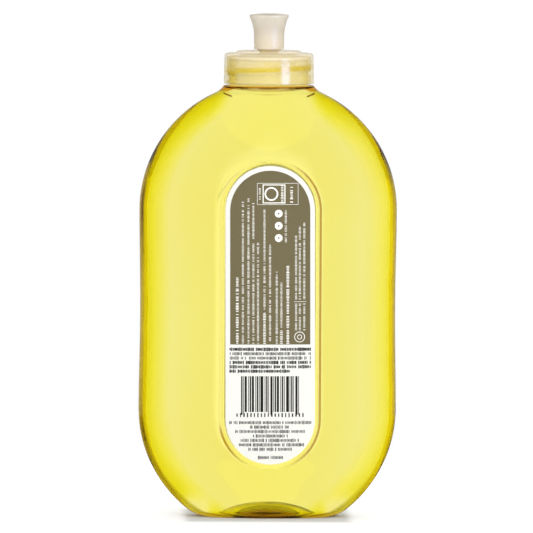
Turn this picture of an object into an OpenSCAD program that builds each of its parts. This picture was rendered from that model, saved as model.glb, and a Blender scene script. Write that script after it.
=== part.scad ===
// Floor cleaner bottle: a clear blown bottle, oval in section and round-ended from the front, filled
// with liquid, with a label on each broad side and a screw closure that carries a push-pull spout.
// The origin is the middle of the foot, Z is up and the information label faces -Y.

/* [Bottle body] */
// Width of the body across its two round sides
body_w = 116; // [104:1:130]
// Depth of the body from one label side to the other
body_d = 50; // [48:1:64]
// Height of the flat ledge around the neck
ledge_z = 194.2; // [185:0.1:225]
// Width of the foot
foot_w = 63; // [50:1:76]
// Depth of the foot
foot_d = 45; // [38:1:48]
// Radius that rounds the foot's edge
foot_edge = 2.6; // [1.5:0.1:4]
// Height over which the broad sides lean in to the foot
heel_h = 22; // [14:1:22]
// How far each round side is drawn in at mid height
waist = 0.55; // [0:0.05:2]
// Squareness of the oval section: 2 is an ellipse
squareness = 2.1; // [2:0.05:2.5]
// Thickness of the blown wall
wall = 0.7; // [0.5:0.05:1.2]
// Height of the dome pushed up into the base
dome_h = 7; // [3:0.5:10]
// Width of the flat ring that the bottle stands on
stand_band = 1.6; // [1:0.1:3]

/* [Shoulder] */
// Half width of the shoulder where the neck cone starts, across the round sides
cone_half_w = 24; // [22.5:0.5:27]
// Half depth of the shoulder where the neck cone starts, across the broad sides
cone_half_d = 22.8; // [22:0.1:23.5]
// Height of the neck cone below the ledge
cone_h = 3.3; // [2.5:0.1:5]
// Radius of the flat ledge
ledge_r = 19.9; // [19:0.1:21]
// Radius that rounds the ledge's edge
ledge_edge = 0.7; // [0.3:0.1:1.2]
// How far up each broad side starts to lean in, below the ledge
shoulder_drop = 44; // [36:1:50]

/* [Label panels] */
// Width of each sunk label panel
panel_w = 42.3; // [38:0.1:50]
// Height of each sunk label panel
panel_h = 136.3; // [110:0.1:140]
// Height of the panels' lower end above the table
panel_low = 23.6; // [22:0.1:30]
// Depth of the panels below the body
panel_sink = 0.4; // [0.2:0.05:0.8]
// Width of the slope at the panels' edge
panel_slope = 0.6; // [0.3:0.1:1]
// Radius of the panels' curve across the body
panel_curve = 150; // [120:1:220]
// How far both panels sit to the +X side
panel_shift = 0.8; // [0:0.1:2]

/* [Labels] */
// Margin between a label and its panel's edge
label_margin = 1.05; // [0.5:0.05:3]
// Thickness of a label
label_t = 0.12; // [0.08:0.01:0.2]
// Thickness of one printed layer
ink_t = 0.03; // [0.02:0.01:0.05]
// Angle at which the information label was applied
label_tilt = 0.3; // [0:0.1:1]
// Width of the white border around the printed field
field_border = 2.1; // [1:0.1:4]
// Height of the printed field's lower edge above the label's lower end
field_low = 53.9; // [45:0.1:70]

/* [Print on the information label] */
// Height of a plain text row on the white part
row_h = 1.1; // [0.7:0.1:1.4]
// Distance from one text row to the next
row_pitch = 1.95; // [1.8:0.05:2.4]
// Width of the block of bars
bars_w = 26; // [18:1:30]
// Height of the block of bars
bars_h = 16; // [10:1:18]
// Number of bars in the block
bars_count = 16; // [8:1:20]
// Width of a text column on the field
column_w = 1; // [0.6:0.1:1.4]
// Length of the longest text column
column_l = 63; // [50:1:66]
// Width of the framed box at the top of the field
box_w = 18.4; // [14:0.1:20]
// Height of the framed box at the top of the field
box_h = 9.7; // [7:0.1:12]
// Radius of each of the three plain dots
dot_r = 1.75; // [1:0.05:2.2]

/* [Neck and thread] */
// Radius of the neck's outer wall
neck_r = 17.6; // [17:0.1:18]
// Thickness of the neck's wall
neck_wall = 2; // [1.5:0.1:2.4]
// Height of the neck above the ledge
neck_h = 11.7; // [11:0.1:15]
// How far the thread stands out from the neck
thread_h = 1.07; // [0.8:0.01:1.3]
// Rise of the thread in one turn
thread_pitch = 4.23; // [3.8:0.01:4.6]
// Width of the thread where it meets the wall
thread_root = 2.1; // [1.6:0.1:2.2]
// Width of the thread at its crest
thread_crest = 0.9; // [0.6:0.1:1.1]
// Height of the thread at the label side, above the ledge
thread_z = 6.55; // [6.2:0.05:7]
// Height of the liquid's surface above the ledge
fill_h = 5.6; // [3:0.1:7]

/* [Closure] */
// Gap between the ledge and the closure's skirt
skirt_gap = 0.75; // [0.4:0.05:1.5]
// Thickness of the skirt at its top
skirt_wall = 1.1; // [0.9:0.05:1.5]
// How much wider the skirt is at its lower edge
skirt_draft = 0.2; // [0:0.05:0.5]
// Radius that rounds the closure's top edge
closure_edge = 1.6; // [0.8:0.1:2]
// Thickness of the closure's deck
deck_t = 1.5; // [1.2:0.1:2.2]
// Radius of the raised disc on the deck
disc_r = 14.5; // [11:0.1:16]
// Height of the raised disc
disc_h = 1; // [0.6:0.1:1.6]
// Thickness of the sealing ring
seal_t = 1.2; // [0.8:0.1:2]
// Inner radius of the sealing ring
seal_bore = 13.5; // [12:0.1:14.5]

/* [Spout] */
// Radius of the chimney that the spout slides on
chimney_r = 5.4; // [5:0.05:5.8]
// Wall of the chimney
chimney_wall = 1.2; // [0.9:0.1:1.5]
// Stand-off of the catch bead on the chimney
bead_h = 0.45; // [0.3:0.05:0.6]
// Radius of the fixed plug pin
pin_r = 2; // [1.5:0.1:2.4]
// Wall of the spout beside the bead
spout_wall = 0.8; // [0.7:0.05:1.2]
// Height of the spout from its lower edge to its crown
spout_h = 16; // [15:0.1:20]
// Height of the straight part of the spout
spout_straight = 6; // [5:0.1:8]
// Radius of the spout's flared rim
rim_r = 8.8; // [8:0.1:10]
// Gap between the disc and the pushed-down spout
spout_gap = 0.7; // [0.4:0.05:1.2]
// How far the spout pulls up
spout_travel = 4.5; // [3:0.1:5]
// Height of the collar that grips the chimney
collar_h = 3.4; // [2:0.1:4]

/* [Clearances] */
// Clearance between the two threads and the walls they face
thread_clear = 0.3; // [0.2:0.05:0.5]
// Clearance between the liquid and the wall
liquid_clear = 0.1; // [0.05:0.05:0.3]
// Clearance on each side of the sealing ring
seal_clear = 0.1; // [0.05:0.05:0.3]
// Running clearance between the spout and the chimney
slide_clear = 0.15; // [0.1:0.05:0.25]
// Gap between a label and the panel behind it
label_clear = 0.05; // [0.04:0.01:0.1]

/* [Hidden] */
$fn = 96;
eps = 0.01;

end_r = body_w / 2;
half_depth = body_d / 2;
cone_z = ledge_z - cone_h;
low_z = sqrt(end_r * end_r - foot_w * foot_w / 4);
high_z = cone_z - sqrt(end_r * end_r - cone_half_w * cone_half_w);
shoulder_z = ledge_z - shoulder_drop;

panel_r = panel_w / 2;
panel_top = panel_low + panel_h;
// The panel's round end is cut off square over this half width, so that its tip is not a point.
tip_half_w = 4;
tip_rise = panel_r - sqrt(panel_r * panel_r - tip_half_w * tip_half_w);
tip_low = panel_low + tip_rise;
tip_high = panel_top - tip_rise;
side_cols = 6;
panel_cols = 3;
// Beyond the panels' ends the inner columns spread by this much for each mm, up to a share of the width
tip_spread = 0.2;
tip_share = 0.45;

neck_bore = neck_r - neck_wall;
lip_z = ledge_z + neck_h;
fill_z = ledge_z + fill_h;
// The neck's wall runs down through the ledge to this height
neck_root_z = ledge_z - 1.2;
throat_r = neck_bore + 0.4 * neck_wall;
// Angles over which the neck's ridge and the skirt's ridge run, with the -Y side at -90
neck_turn = [-280, 100];
skirt_turn = [-290, 110];

label_r = panel_r - label_margin;
label_low = panel_low + label_margin;
label_high = panel_top - label_margin;
label_h = label_high - label_low;
field_r = label_r - field_border;
field_bottom = label_low + field_low;
field_top = label_high - field_border;

// Where the print stands: the columns, the pair of columns, the box, the dots and the rows
column_foot = 0.6;
column_edge = 2.6;
column_pitch = 2.63;
column_shares = [0.46, 1, 1, 1, 0.71, 0.95, 0.69, 0.5, 0.42];
pair_edge = 6.7;
pair_pitch = 1.9;
pair_low = 18.6;
pair_high = 49.5;
box_x = 2.7;
box_drop = 6.1;
box_line = 0.3;
inner_box_w = 0.52 * box_w;
dots_x = 3.8;
dots_drop = 19.2;
dots_pitch = 5.5;
rows_gap = 1.6;
ink_margin = 0.2;
full_rows = 5;
bar_shares = [0.35, 0.5, 0.65];
low_rows_gap = 4.2;
low_rows = 7;
row_shares = [0.72, 1];
shortest_row = 8;

thread_crest_r = neck_r + thread_h;
skirt_r = thread_crest_r + thread_clear;
closure_r = skirt_r + skirt_wall;
skirt_z = ledge_z + skirt_gap;
seal_z = lip_z + seal_clear;
deck_z = seal_z + seal_t + seal_clear;
closure_top = deck_z + deck_t;
disc_z = closure_top + disc_h;

bead_r = chimney_r + bead_h;
collar_bore = chimney_r + slide_clear;
relief_r = bead_r + slide_clear;
spout_r = relief_r + spout_wall;
spout_z = disc_z + spout_gap;
spout_top = spout_z + spout_h;
bead_z = spout_z + collar_h + spout_travel + slide_clear;
bead_l = 1.2;
chimney_top = bead_z + bead_l + bead_h / 2;
relief_gap = 1;
relief_top = chimney_top + relief_gap;
roof_t = 2;
pin_sunk = 0.5;
flow_r = pin_r + 1.6;
throat_top = spout_top - roof_t;
pin_top = spout_top - pin_sunk;
pin_z = deck_z + disc_h;
spoke_w = 1.2;
spoke_h = 2;
crown_h = 1.3;
crown_round = 0.6;
crown_drop = 0.35;

// Half width of the section at height z, t inside the outer face
function half_w(z, t) =
    let (r = end_r - t)
    z < low_z ? sqrt(max(0, r * r - pow(low_z - z, 2))) :
    z > high_z ? sqrt(max(0, r * r - pow(z - high_z, 2))) :
    r - waist * pow(1 - pow((2 * z - low_z - high_z) / (high_z - low_z), 2), 2);

// Share of the way from the shoulder's start up to the neck cone, at height z
function shoulder_share(z) = min(1, max(0, z - shoulder_z) / (cone_z - shoulder_z));

// Half depth of the section at height z, t inside the outer face
function half_d(z, t) =
    (z < heel_h ? half_depth - (half_depth - foot_d / 2) * pow(1 - z / heel_h, 2) :
     z > shoulder_z ? half_depth - (half_depth - cone_half_d) * pow(shoulder_share(z), 2) :
     half_depth) - t;

// Exponent of the oval, which turns into an ellipse at the top of the shoulder
function oval(z) = squareness - (squareness - 2) * shoulder_share(z);

// How far the foot's rounded edge draws the section in, at height z above the foot or floor at z0
function foot_inset(z, z0) = z - z0 < foot_edge ? foot_edge * pow(1 - (z - z0) / foot_edge, 2) : 0;

// Half width of a round-ended outline of radius r around the panel's middle line, at height z
function pill_half_w(z, r) =
    z < panel_low + panel_r ? sqrt(max(0, r * r - pow(panel_low + panel_r - z, 2))) :
    z > panel_top - panel_r ? sqrt(max(0, r * r - pow(z - panel_top + panel_r, 2))) : r;

// Half width of the inner columns: the panel's outline, and beyond its ends a band that widens slowly
function inner_half_w(z, w) =
    let (beyond = max(0, tip_low - z, z - tip_high))
    min(tip_share * w, max(tip_half_w + tip_spread * beyond, pill_half_w(z, panel_r)));
function slope_half_w(z, w) = max(inner_half_w(z, w) + panel_slope, pill_half_w(z, panel_r + panel_slope));

// The places of a ring's columns from the -X side to the +X side, closest together at the sides
function columns(z, w, n) =
    let (e = inner_half_w(z, w), s = slope_half_w(z, w), shift = panel_shift,
         a_left = asin(pow((s - shift) / w, n / 2)), a_right = asin(pow((s + shift) / w, n / 2)))
    concat([for (k = [0:side_cols - 1]) -w * pow(sin(90 - (90 - a_left) * k / side_cols), 2 / n)],
           [shift - s],
           [for (k = [-panel_cols:panel_cols]) shift + e * k / panel_cols],
           [shift + s],
           [for (k = [side_cols - 1:-1:0]) w * pow(sin(90 - (90 - a_right) * k / side_cols), 2 / n)]);

function on_panel_at(x, z) = z >= tip_low - eps && z <= tip_high + eps
    && abs(x - panel_shift) <= pill_half_w(z, panel_r) + eps;

// Distance of a broad side from the middle plane at x, z
function side_y(x, z, t, w, d, n) =
    on_panel_at(x, z) && w > panel_w ?
        half_depth - panel_sink - t - panel_curve + sqrt(pow(panel_curve, 2) - pow(x - panel_shift, 2)) :
        d * pow(max(0, 1 - pow(abs(x) / w, n)), 1 / n);

// One closed ring of points, anticlockwise seen from above
function ring(z, w, d, n, t) =
    let (xs = columns(z, w, n), last = len(xs) - 1)
    concat([for (k = [last:-1:0]) [xs[k], side_y(xs[k], z, t, w, d, n), z]],
           [for (k = [1:last - 1]) [xs[k], -side_y(xs[k], z, t, w, d, n), z]]);

function body_ring(z, t) =
    let (in = foot_inset(z, t))
    ring(z, half_w(z, t) - in, half_d(z, t) - in, oval(z), t);
function round_ring(z, r) = ring(z, r, r, 2, 0);

// The foot's ring drawn in by a share s of its size, at height z
function base_ring(s, z, t) =
    let (w = half_w(t, t) - foot_edge, d = half_d(t, t) - foot_edge)
    [for (p = ring(t, w, d, squareness, t)) [s * p[0], s * p[1], z]];

// Heights of the rings up the body, closest together around the foot and the panels' round ends
function steps(a, b, n) = [for (k = [1:n]) a + (b - a) * k / n];
end_angle = acos(tip_half_w / panel_r);
end_steps = 5;
heel_rings = 5;
side_rings = 6;
foot_rings = 3;
shoulder_rings = 6;
crown_rings = 2;
function end_rise(k) = panel_r * sin(end_angle * k / end_steps);
low_heights = concat(steps(foot_edge, tip_low - panel_slope, heel_rings), [tip_low],
                     [for (k = [end_steps - 1:-1:0]) panel_low + panel_r - end_rise(k)]);
high_heights = concat([for (k = [0:end_steps - 1]) panel_top - panel_r + end_rise(k)],
                      [tip_high, tip_high + panel_slope]);
body_heights = concat(low_heights, steps(panel_low + panel_r, panel_top - panel_r, side_rings),
                      high_heights);
function shoulder_heights(r, r_end, n) =
    let (a = asin((tip_high + panel_slope - high_z) / r), b = acos(r_end / r))
    [for (k = [1:n]) high_z + r * sin(a + (b - a) * k / n)];

function dome_z(s) = dome_h * (1 - pow(s, dome_power));
dome_share = 1 - stand_band / (foot_d / 2 - foot_edge);
dome_power = 2.3;
dome_shares = [0.3, 0.55, 0.78, 1];

outer_rings = concat(
    [for (s = dome_shares) base_ring(s * dome_share, dome_z(s), 0)],
    [for (k = [0:foot_rings]) body_ring(foot_edge * pow(k / foot_rings, 2), 0)],
    [for (z = body_heights) body_ring(z, 0)],
    [for (z = shoulder_heights(end_r, cone_half_w, shoulder_rings)) body_ring(z, 0)],
    [for (a = [0:30:90])
        round_ring(ledge_z - ledge_edge * (1 - sin(a)), ledge_r - ledge_edge * (1 - cos(a)) + ledge_edge)]);

// Rings inside the wall, t behind the outer face, from the shoulder's crown down to the floor
function inner_top(t) = high_z + sqrt(pow(end_r - t, 2) - pow(throat_r, 2));
function inner_rings(t) = concat(
    [for (k = [1:crown_rings]) let (r = throat_r + (cone_half_d - t - throat_r) * k / (crown_rings + 1))
        round_ring(high_z + sqrt(pow(end_r - t, 2) - r * r), r)],
    [for (z = reversed(shoulder_heights(end_r - t, cone_half_w - t, shoulder_rings - 1))) body_ring(z, t)],
    [for (z = reversed(body_heights)) body_ring(z, t)],
    [for (k = [foot_rings:-1:1]) body_ring(t + (foot_edge - t) * pow(k / foot_rings, 2) + eps, t)],
    [for (s = reversed(dome_shares)) base_ring(s * dome_share, dome_z(s) + t, t)]);

function reversed(v) = [for (k = [len(v) - 1:-1:0]) v[k]];

// A closed skin over rings of equal length, from one pole to the other
module skin(first_pole, rings, last_pole) {
    n = len(rings[0]);
    m = len(rings);
    function at(i, j) = 1 + i * n + j % n;
    polyhedron(
        points = concat([first_pole], [for (r = rings) each r], [last_pole]),
        faces = concat(
            [for (j = [0:n - 1]) [0, at(0, j), at(0, j + 1)]],
            [for (i = [0:m - 2], j = [0:n - 1]) [at(i, j), at(i + 1, j), at(i + 1, j + 1)]],
            [for (i = [0:m - 2], j = [0:n - 1]) [at(i, j), at(i + 1, j + 1), at(i, j + 1)]],
            [for (j = [0:n - 1]) [1 + m * n, at(m - 1, j + 1), at(m - 1, j)]]),
        convexity = 8);
}

// A helical ridge. Its foot lies at radius foot, inside the wall, and its crest sinks into the wall
// at both ends. The middle of the ridge crosses the -Y side at height z.
module ridge(foot, crest, sunk, z, from, to) {
    step = 10;
    lead = 30;
    count = ceil((to - from) / step);
    function share(a) = min(1, (a - from) / lead, (to - a) / lead);
    function spot(a, r, dz) = [r * cos(a), r * sin(a), z + dz + thread_pitch * (a + 90) / 360];
    rings = [for (k = [0:count])
        let (a = from + (to - from) * k / count, c = sunk + (crest - sunk) * share(a))
        [spot(a, foot, -thread_root / 2), spot(a, c, -thread_crest / 2),
         spot(a, c, thread_crest / 2), spot(a, foot, thread_root / 2)]];
    outward = crest > foot;
    points = [for (r = rings) each (outward ? reversed(r) : r)];
    polyhedron(
        points = points,
        faces = concat(
            [[0, 1, 2], [0, 2, 3]],
            [for (i = [0:count - 1], j = [0:3])
                [4 * i + j, 4 * (i + 1) + j, 4 * (i + 1) + (j + 1) % 4]],
            [for (i = [0:count - 1], j = [0:3])
                [4 * i + j, 4 * (i + 1) + (j + 1) % 4, 4 * i + (j + 1) % 4]],
            [for (k = [[3, 2, 1], [3, 1, 0]]) [for (c = k) 4 * count + c]]),
        convexity = 6);
}

module ring_of(inner, outer, z0, z1) {
    rotate_extrude() translate([inner, z0]) square([outer - inner, z1 - z0]);
}

module bottle() {
    color([0.98, 0.9, 0.3, 0.35]) union() {
        skin([0, 0, dome_h],
             concat(outer_rings,
                    [round_ring(ledge_z, throat_r), round_ring(inner_top(wall), throat_r)],
                    inner_rings(wall)),
             [0, 0, dome_h + wall]);
        ring_of(neck_bore, neck_r, neck_root_z, lip_z);
        ridge(neck_r - neck_wall / 2, thread_crest_r, neck_r - 0.1 * neck_wall,
              ledge_z + thread_z, neck_turn[0], neck_turn[1]);
    }
}

module liquid() {
    t = wall + liquid_clear;
    surface_r = neck_bore - liquid_clear;
    top = high_z + sqrt(pow(end_r - t, 2) - surface_r * surface_r);
    color([0.95, 0.85, 0.1, 0.6])
        skin([0, 0, fill_z],
             concat([for (s = [0.5, 1]) round_ring(fill_z, surface_r * s)],
                    [round_ring(min(top, neck_root_z) - liquid_clear, surface_r)],
                    inner_rings(t)),
             [0, 0, dome_h + t]);
}

// Section of a thin layer of thickness t on a broad side, held off the panel's curve by gap. All layers
// break into flats at the same places, so that one lies flush on the next.
module layer_section(gap, t) {
    flats = 16;
    reach = asin((panel_r + panel_slope) / panel_curve);
    function spot(k, r) = let (a = reach * (2 * k / flats - 1))
        [panel_shift + r * sin(a), panel_curve + panel_sink - half_depth - r * cos(a)];
    polygon(concat([for (k = [0:flats]) spot(k, panel_curve + gap)],
                   [for (k = [flats:-1:0]) spot(k, panel_curve + gap + t)]));
}

// The layer cut to a flat outline
module layer(gap, t) {
    intersection() {
        linear_extrude(height = ledge_z) layer_section(gap, t);
        translate([panel_shift, -half_depth / 2, 0]) rotate([90, 0, 0])
            linear_extrude(height = half_depth) children();
    }
}

// Turns a flat outline with the label, about the label's middle
module tilted(angle) {
    middle = (label_low + label_high) / 2;
    translate([0, middle]) rotate(angle) translate([0, -middle]) children();
}

module label_outline() {
    translate([0, label_low + label_r]) circle(label_r);
    translate([0, label_high - label_r]) circle(label_r);
    translate([-label_r, label_low + label_r]) square([2 * label_r, label_h - 2 * label_r]);
}

module field_outline() {
    translate([0, field_top - field_r]) circle(field_r);
    translate([-field_r, field_bottom]) square([2 * field_r, field_top - field_r - field_bottom]);
}

module information_label() {
    color("white") layer(label_clear, label_t) tilted(label_tilt) label_outline();
}

module label_field() {
    color([0.5, 0.46, 0.33]) layer(label_clear + label_t, ink_t) tilted(label_tilt) field_outline();
}

// A bar of print, from x0 to x1 and z0 to z1
module bar(x0, x1, z0, z1) {
    translate([x0, z0]) square([x1 - x0, z1 - z0]);
}

// A bar of width column_w that stands at x, from z0 to z1
module column(x, z0, z1) {
    bar(x, x + column_w, z0, z1);
}

// Columns of rotated text stand on the field as plain bars, the long ones beside its left edge. Two more
// stand alone near its right edge.
module columns_outline() {
    foot = field_bottom + column_foot;
    for (k = [0:len(column_shares) - 1])
        column(column_pitch * k - field_r + column_edge, foot, foot + column_l * column_shares[k]);
    for (k = [0:1])
        column(field_r - pair_edge + pair_pitch * k, foot + pair_low, foot + pair_high);
}

// A frame of lines between x0 and x1, z0 and z1
module frame_outline(x0, x1, z0, z1, line) {
    difference() {
        bar(x0, x1, z0, z1);
        bar(x0 + line, x1 - line, z0 + line, z1 - line);
    }
}

module box_outline() {
    low = field_top - box_drop - box_h;
    high = low + box_h;
    frame_outline(box_x - box_w / 2, box_x + box_w / 2, low, high, box_line);
    frame_outline(box_x - inner_box_w / 2, box_x + inner_box_w / 2, low + box_line, high - box_line,
                  2 * box_line);
}

module dots_outline() {
    for (k = [0:2])
        translate([dots_x, field_top - dots_drop - dots_pitch * k]) circle(dot_r);
}

module field_print() {
    color("white") layer(label_clear + label_t + ink_t, ink_t) tilted(label_tilt) {
        columns_outline();
        box_outline();
        dots_outline();
    }
}

// A row of text as a plain bar from x0 to x1 with its top at z
module row(x0, x1, z) {
    bar(x0, x1, z - row_h, z);
}

// The block's bars take three widths in turn
module bars_outline(top) {
    step = bars_w / bars_count;
    for (k = [0:bars_count - 1]) {
        x = step * k - bars_w / 2;
        bar(x, x + step * bar_shares[k % len(bar_shares)], top - bars_h, top);
    }
}

// Rows of text on the white part, the block of bars, and shorter rows that follow the round end
module rows_outline() {
    top = field_bottom - rows_gap;
    reach = field_r - ink_margin;
    for (k = [0:full_rows - 1]) row(-reach, reach, top - row_pitch * k);
    last = top - row_pitch * full_rows;
    row(-reach, reach / 2, last);
    bars_top = last - row_h - rows_gap;
    bars_outline(bars_top);
    low_top = bars_top - bars_h - low_rows_gap;
    for (k = [0:low_rows - 1]) {
        z = low_top - row_pitch * k;
        below = max(0, label_low + label_r - z + row_h);
        space = sqrt(max(0, pow(label_r - field_border, 2) - below * below));
        half = min(reach, space * row_shares[k % len(row_shares)]);
        if (half > shortest_row / 2) row(-half, half, z);
    }
}

module label_print() {
    color([0.25, 0.25, 0.25]) layer(label_clear + label_t, ink_t) tilted(label_tilt) rows_outline();
}

module front_label() {
    color("white") mirror([0, 1, 0]) layer(label_clear, label_t) label_outline();
}

module front_field() {
    color([0.5, 0.46, 0.33]) mirror([0, 1, 0]) layer(label_clear + label_t, ink_t) field_outline();
}

module sealing_ring() {
    color([0.93, 0.93, 0.9]) ring_of(seal_bore, skirt_r - thread_clear, seal_z, seal_z + seal_t);
}

// Outline of the closure's shell from its axis outwards, as a turned profile
module closure_profile() {
    edge_r = closure_r - closure_edge;
    edge_z = closure_top - closure_edge;
    difference() {
        union() {
            polygon([[0, skirt_z], [closure_r + skirt_draft, skirt_z], [closure_r, edge_z],
                     [edge_r, edge_z], [edge_r, closure_top], [0, closure_top]]);
            intersection() {
                translate([edge_r, edge_z]) circle(closure_edge);
                translate([edge_r, edge_z]) square(2 * closure_edge);
            }
            translate([0, closure_top - eps]) square([disc_r, disc_h + eps]);
            translate([0, disc_z - eps]) square([chimney_r, chimney_top - disc_z + eps]);
            translate([0, bead_z]) square([bead_r, bead_l]);
        }
        translate([-1, skirt_z - 1]) square([skirt_r + 1, deck_z - skirt_z + 1]);
        translate([-1, deck_z - 1]) square([disc_r - deck_t + 1, disc_h + 1]);
        translate([-1, deck_z - 1]) square([chimney_r - chimney_wall + 1, chimney_top - deck_z + 2]);
    }
}

module closure() {
    spoke_l = chimney_r - chimney_wall / 2;
    color([0.93, 0.88, 0.68, 0.85]) union() {
        rotate_extrude() closure_profile();
        translate([0, 0, pin_z]) cylinder(r = pin_r, h = pin_top - pin_z);
        for (a = [30, 150, 270]) rotate([0, 0, a]) translate([0, -spoke_w / 2, pin_z])
            cube([spoke_l, spoke_w, spoke_h]);
        ridge(skirt_r + 0.7 * skirt_wall, neck_r + thread_clear, skirt_r + 0.3 * skirt_wall,
              ledge_z + thread_z - thread_pitch / 2, skirt_turn[0], skirt_turn[1]);
    }
}

// Outside of the spout: straight, then flared to the rim, with a low crown
module spout_outside() {
    rows = 8;
    flare_h = spout_h - spout_straight - crown_h;
    flare = [for (k = [0:rows])
        [spout_r + (rim_r - spout_r) * pow(k / rows, 2), spout_straight + flare_h * k / rows]];
    crown = [[rim_r, spout_h - crown_drop - crown_round], [rim_r - crown_round, spout_h - crown_drop],
             [flow_r + slide_clear, spout_h], [0, spout_h]];
    polygon(concat([[0, 0], [spout_r - slide_clear, 0]], flare, crown));
}

module spout() {
    color([0.93, 0.9, 0.82, 0.9]) difference() {
        translate([0, 0, spout_z]) rotate_extrude() spout_outside();
        translate([0, 0, spout_z - 1]) cylinder(r = collar_bore, h = collar_h + 1 + eps);
        translate([0, 0, spout_z + collar_h]) cylinder(r = relief_r, h = relief_top - spout_z - collar_h);
        translate([0, 0, relief_top - 1]) cylinder(r = flow_r, h = throat_top - relief_top + 1);
        translate([0, 0, throat_top - 1]) cylinder(r = pin_r + slide_clear, h = roof_t + 2);
    }
}

bottle();
liquid();
information_label();
label_field();
field_print();
label_print();
front_label();
front_field();
sealing_ring();
closure();
spout();
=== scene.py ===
"""Looks of the floor cleaner bottle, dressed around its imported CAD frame.

Sizes in the classes are millimetres in the part's own frame: the origin is the middle of the foot, Z is
up and the information label faces -Y. Meshes are written in metres, with every object at the origin.
"""

from __future__ import annotations

import logging
import math
from dataclasses import dataclass, field
from enum import Enum
from functools import cached_property
from typing import Any, Callable, Iterable, Sequence

import bmesh
import bpy
import numpy as np
from mathutils import Matrix, Vector

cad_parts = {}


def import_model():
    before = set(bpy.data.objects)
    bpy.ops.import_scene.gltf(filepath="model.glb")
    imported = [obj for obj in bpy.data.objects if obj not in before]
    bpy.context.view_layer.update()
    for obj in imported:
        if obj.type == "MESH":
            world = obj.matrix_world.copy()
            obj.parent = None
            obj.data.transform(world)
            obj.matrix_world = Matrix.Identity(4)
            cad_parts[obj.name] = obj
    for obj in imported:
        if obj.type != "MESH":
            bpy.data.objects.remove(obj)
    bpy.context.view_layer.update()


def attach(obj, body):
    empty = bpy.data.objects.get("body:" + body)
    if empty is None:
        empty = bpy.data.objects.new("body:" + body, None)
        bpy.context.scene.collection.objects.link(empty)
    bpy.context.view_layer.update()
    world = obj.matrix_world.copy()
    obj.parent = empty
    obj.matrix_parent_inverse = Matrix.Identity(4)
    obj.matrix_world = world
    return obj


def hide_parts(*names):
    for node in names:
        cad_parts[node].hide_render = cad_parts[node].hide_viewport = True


LOG = logging.getLogger("floor_cleaner_bottle")
MM = 0.001
SHARP = math.radians(38)
# Share of an outline's straight side that the rounding of one of its corners may take
MOST_OF_SIDE = 0.49
WHITE = (1, 1, 1, 1)
Point = tuple[float, float, float]
Flat = tuple[float, float]
Stops = tuple[tuple[float, Any], ...]


# Helpers


def linear(code: str) -> tuple[float, float, float, float]:
    """Turns an sRGB hex colour into linear values.

    Args:
        code: six hex digits, such as "F4EE76".

    Returns:
        The linear red, green and blue, and an alpha of 1.
    """

    def channel(at: int) -> float:
        """One linear channel, from the two hex digits at a place."""
        share = int(code[at : at + 2], 16) / 255
        return share / 12.92 if share <= 0.04045 else ((share + 0.055) / 1.055) ** 2.4

    return channel(0), channel(2), channel(4), 1.0


def colour(value: Any) -> Any:
    """Readies a colour for a node's input.

    Args:
        value: a hex code, linear red, green and blue with or without alpha, or a socket.

    Returns:
        Four linear values, or the socket.
    """
    if isinstance(value, str):
        return linear(value)
    return (*value, 1) if isinstance(value, tuple) and len(value) == 3 else value


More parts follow.
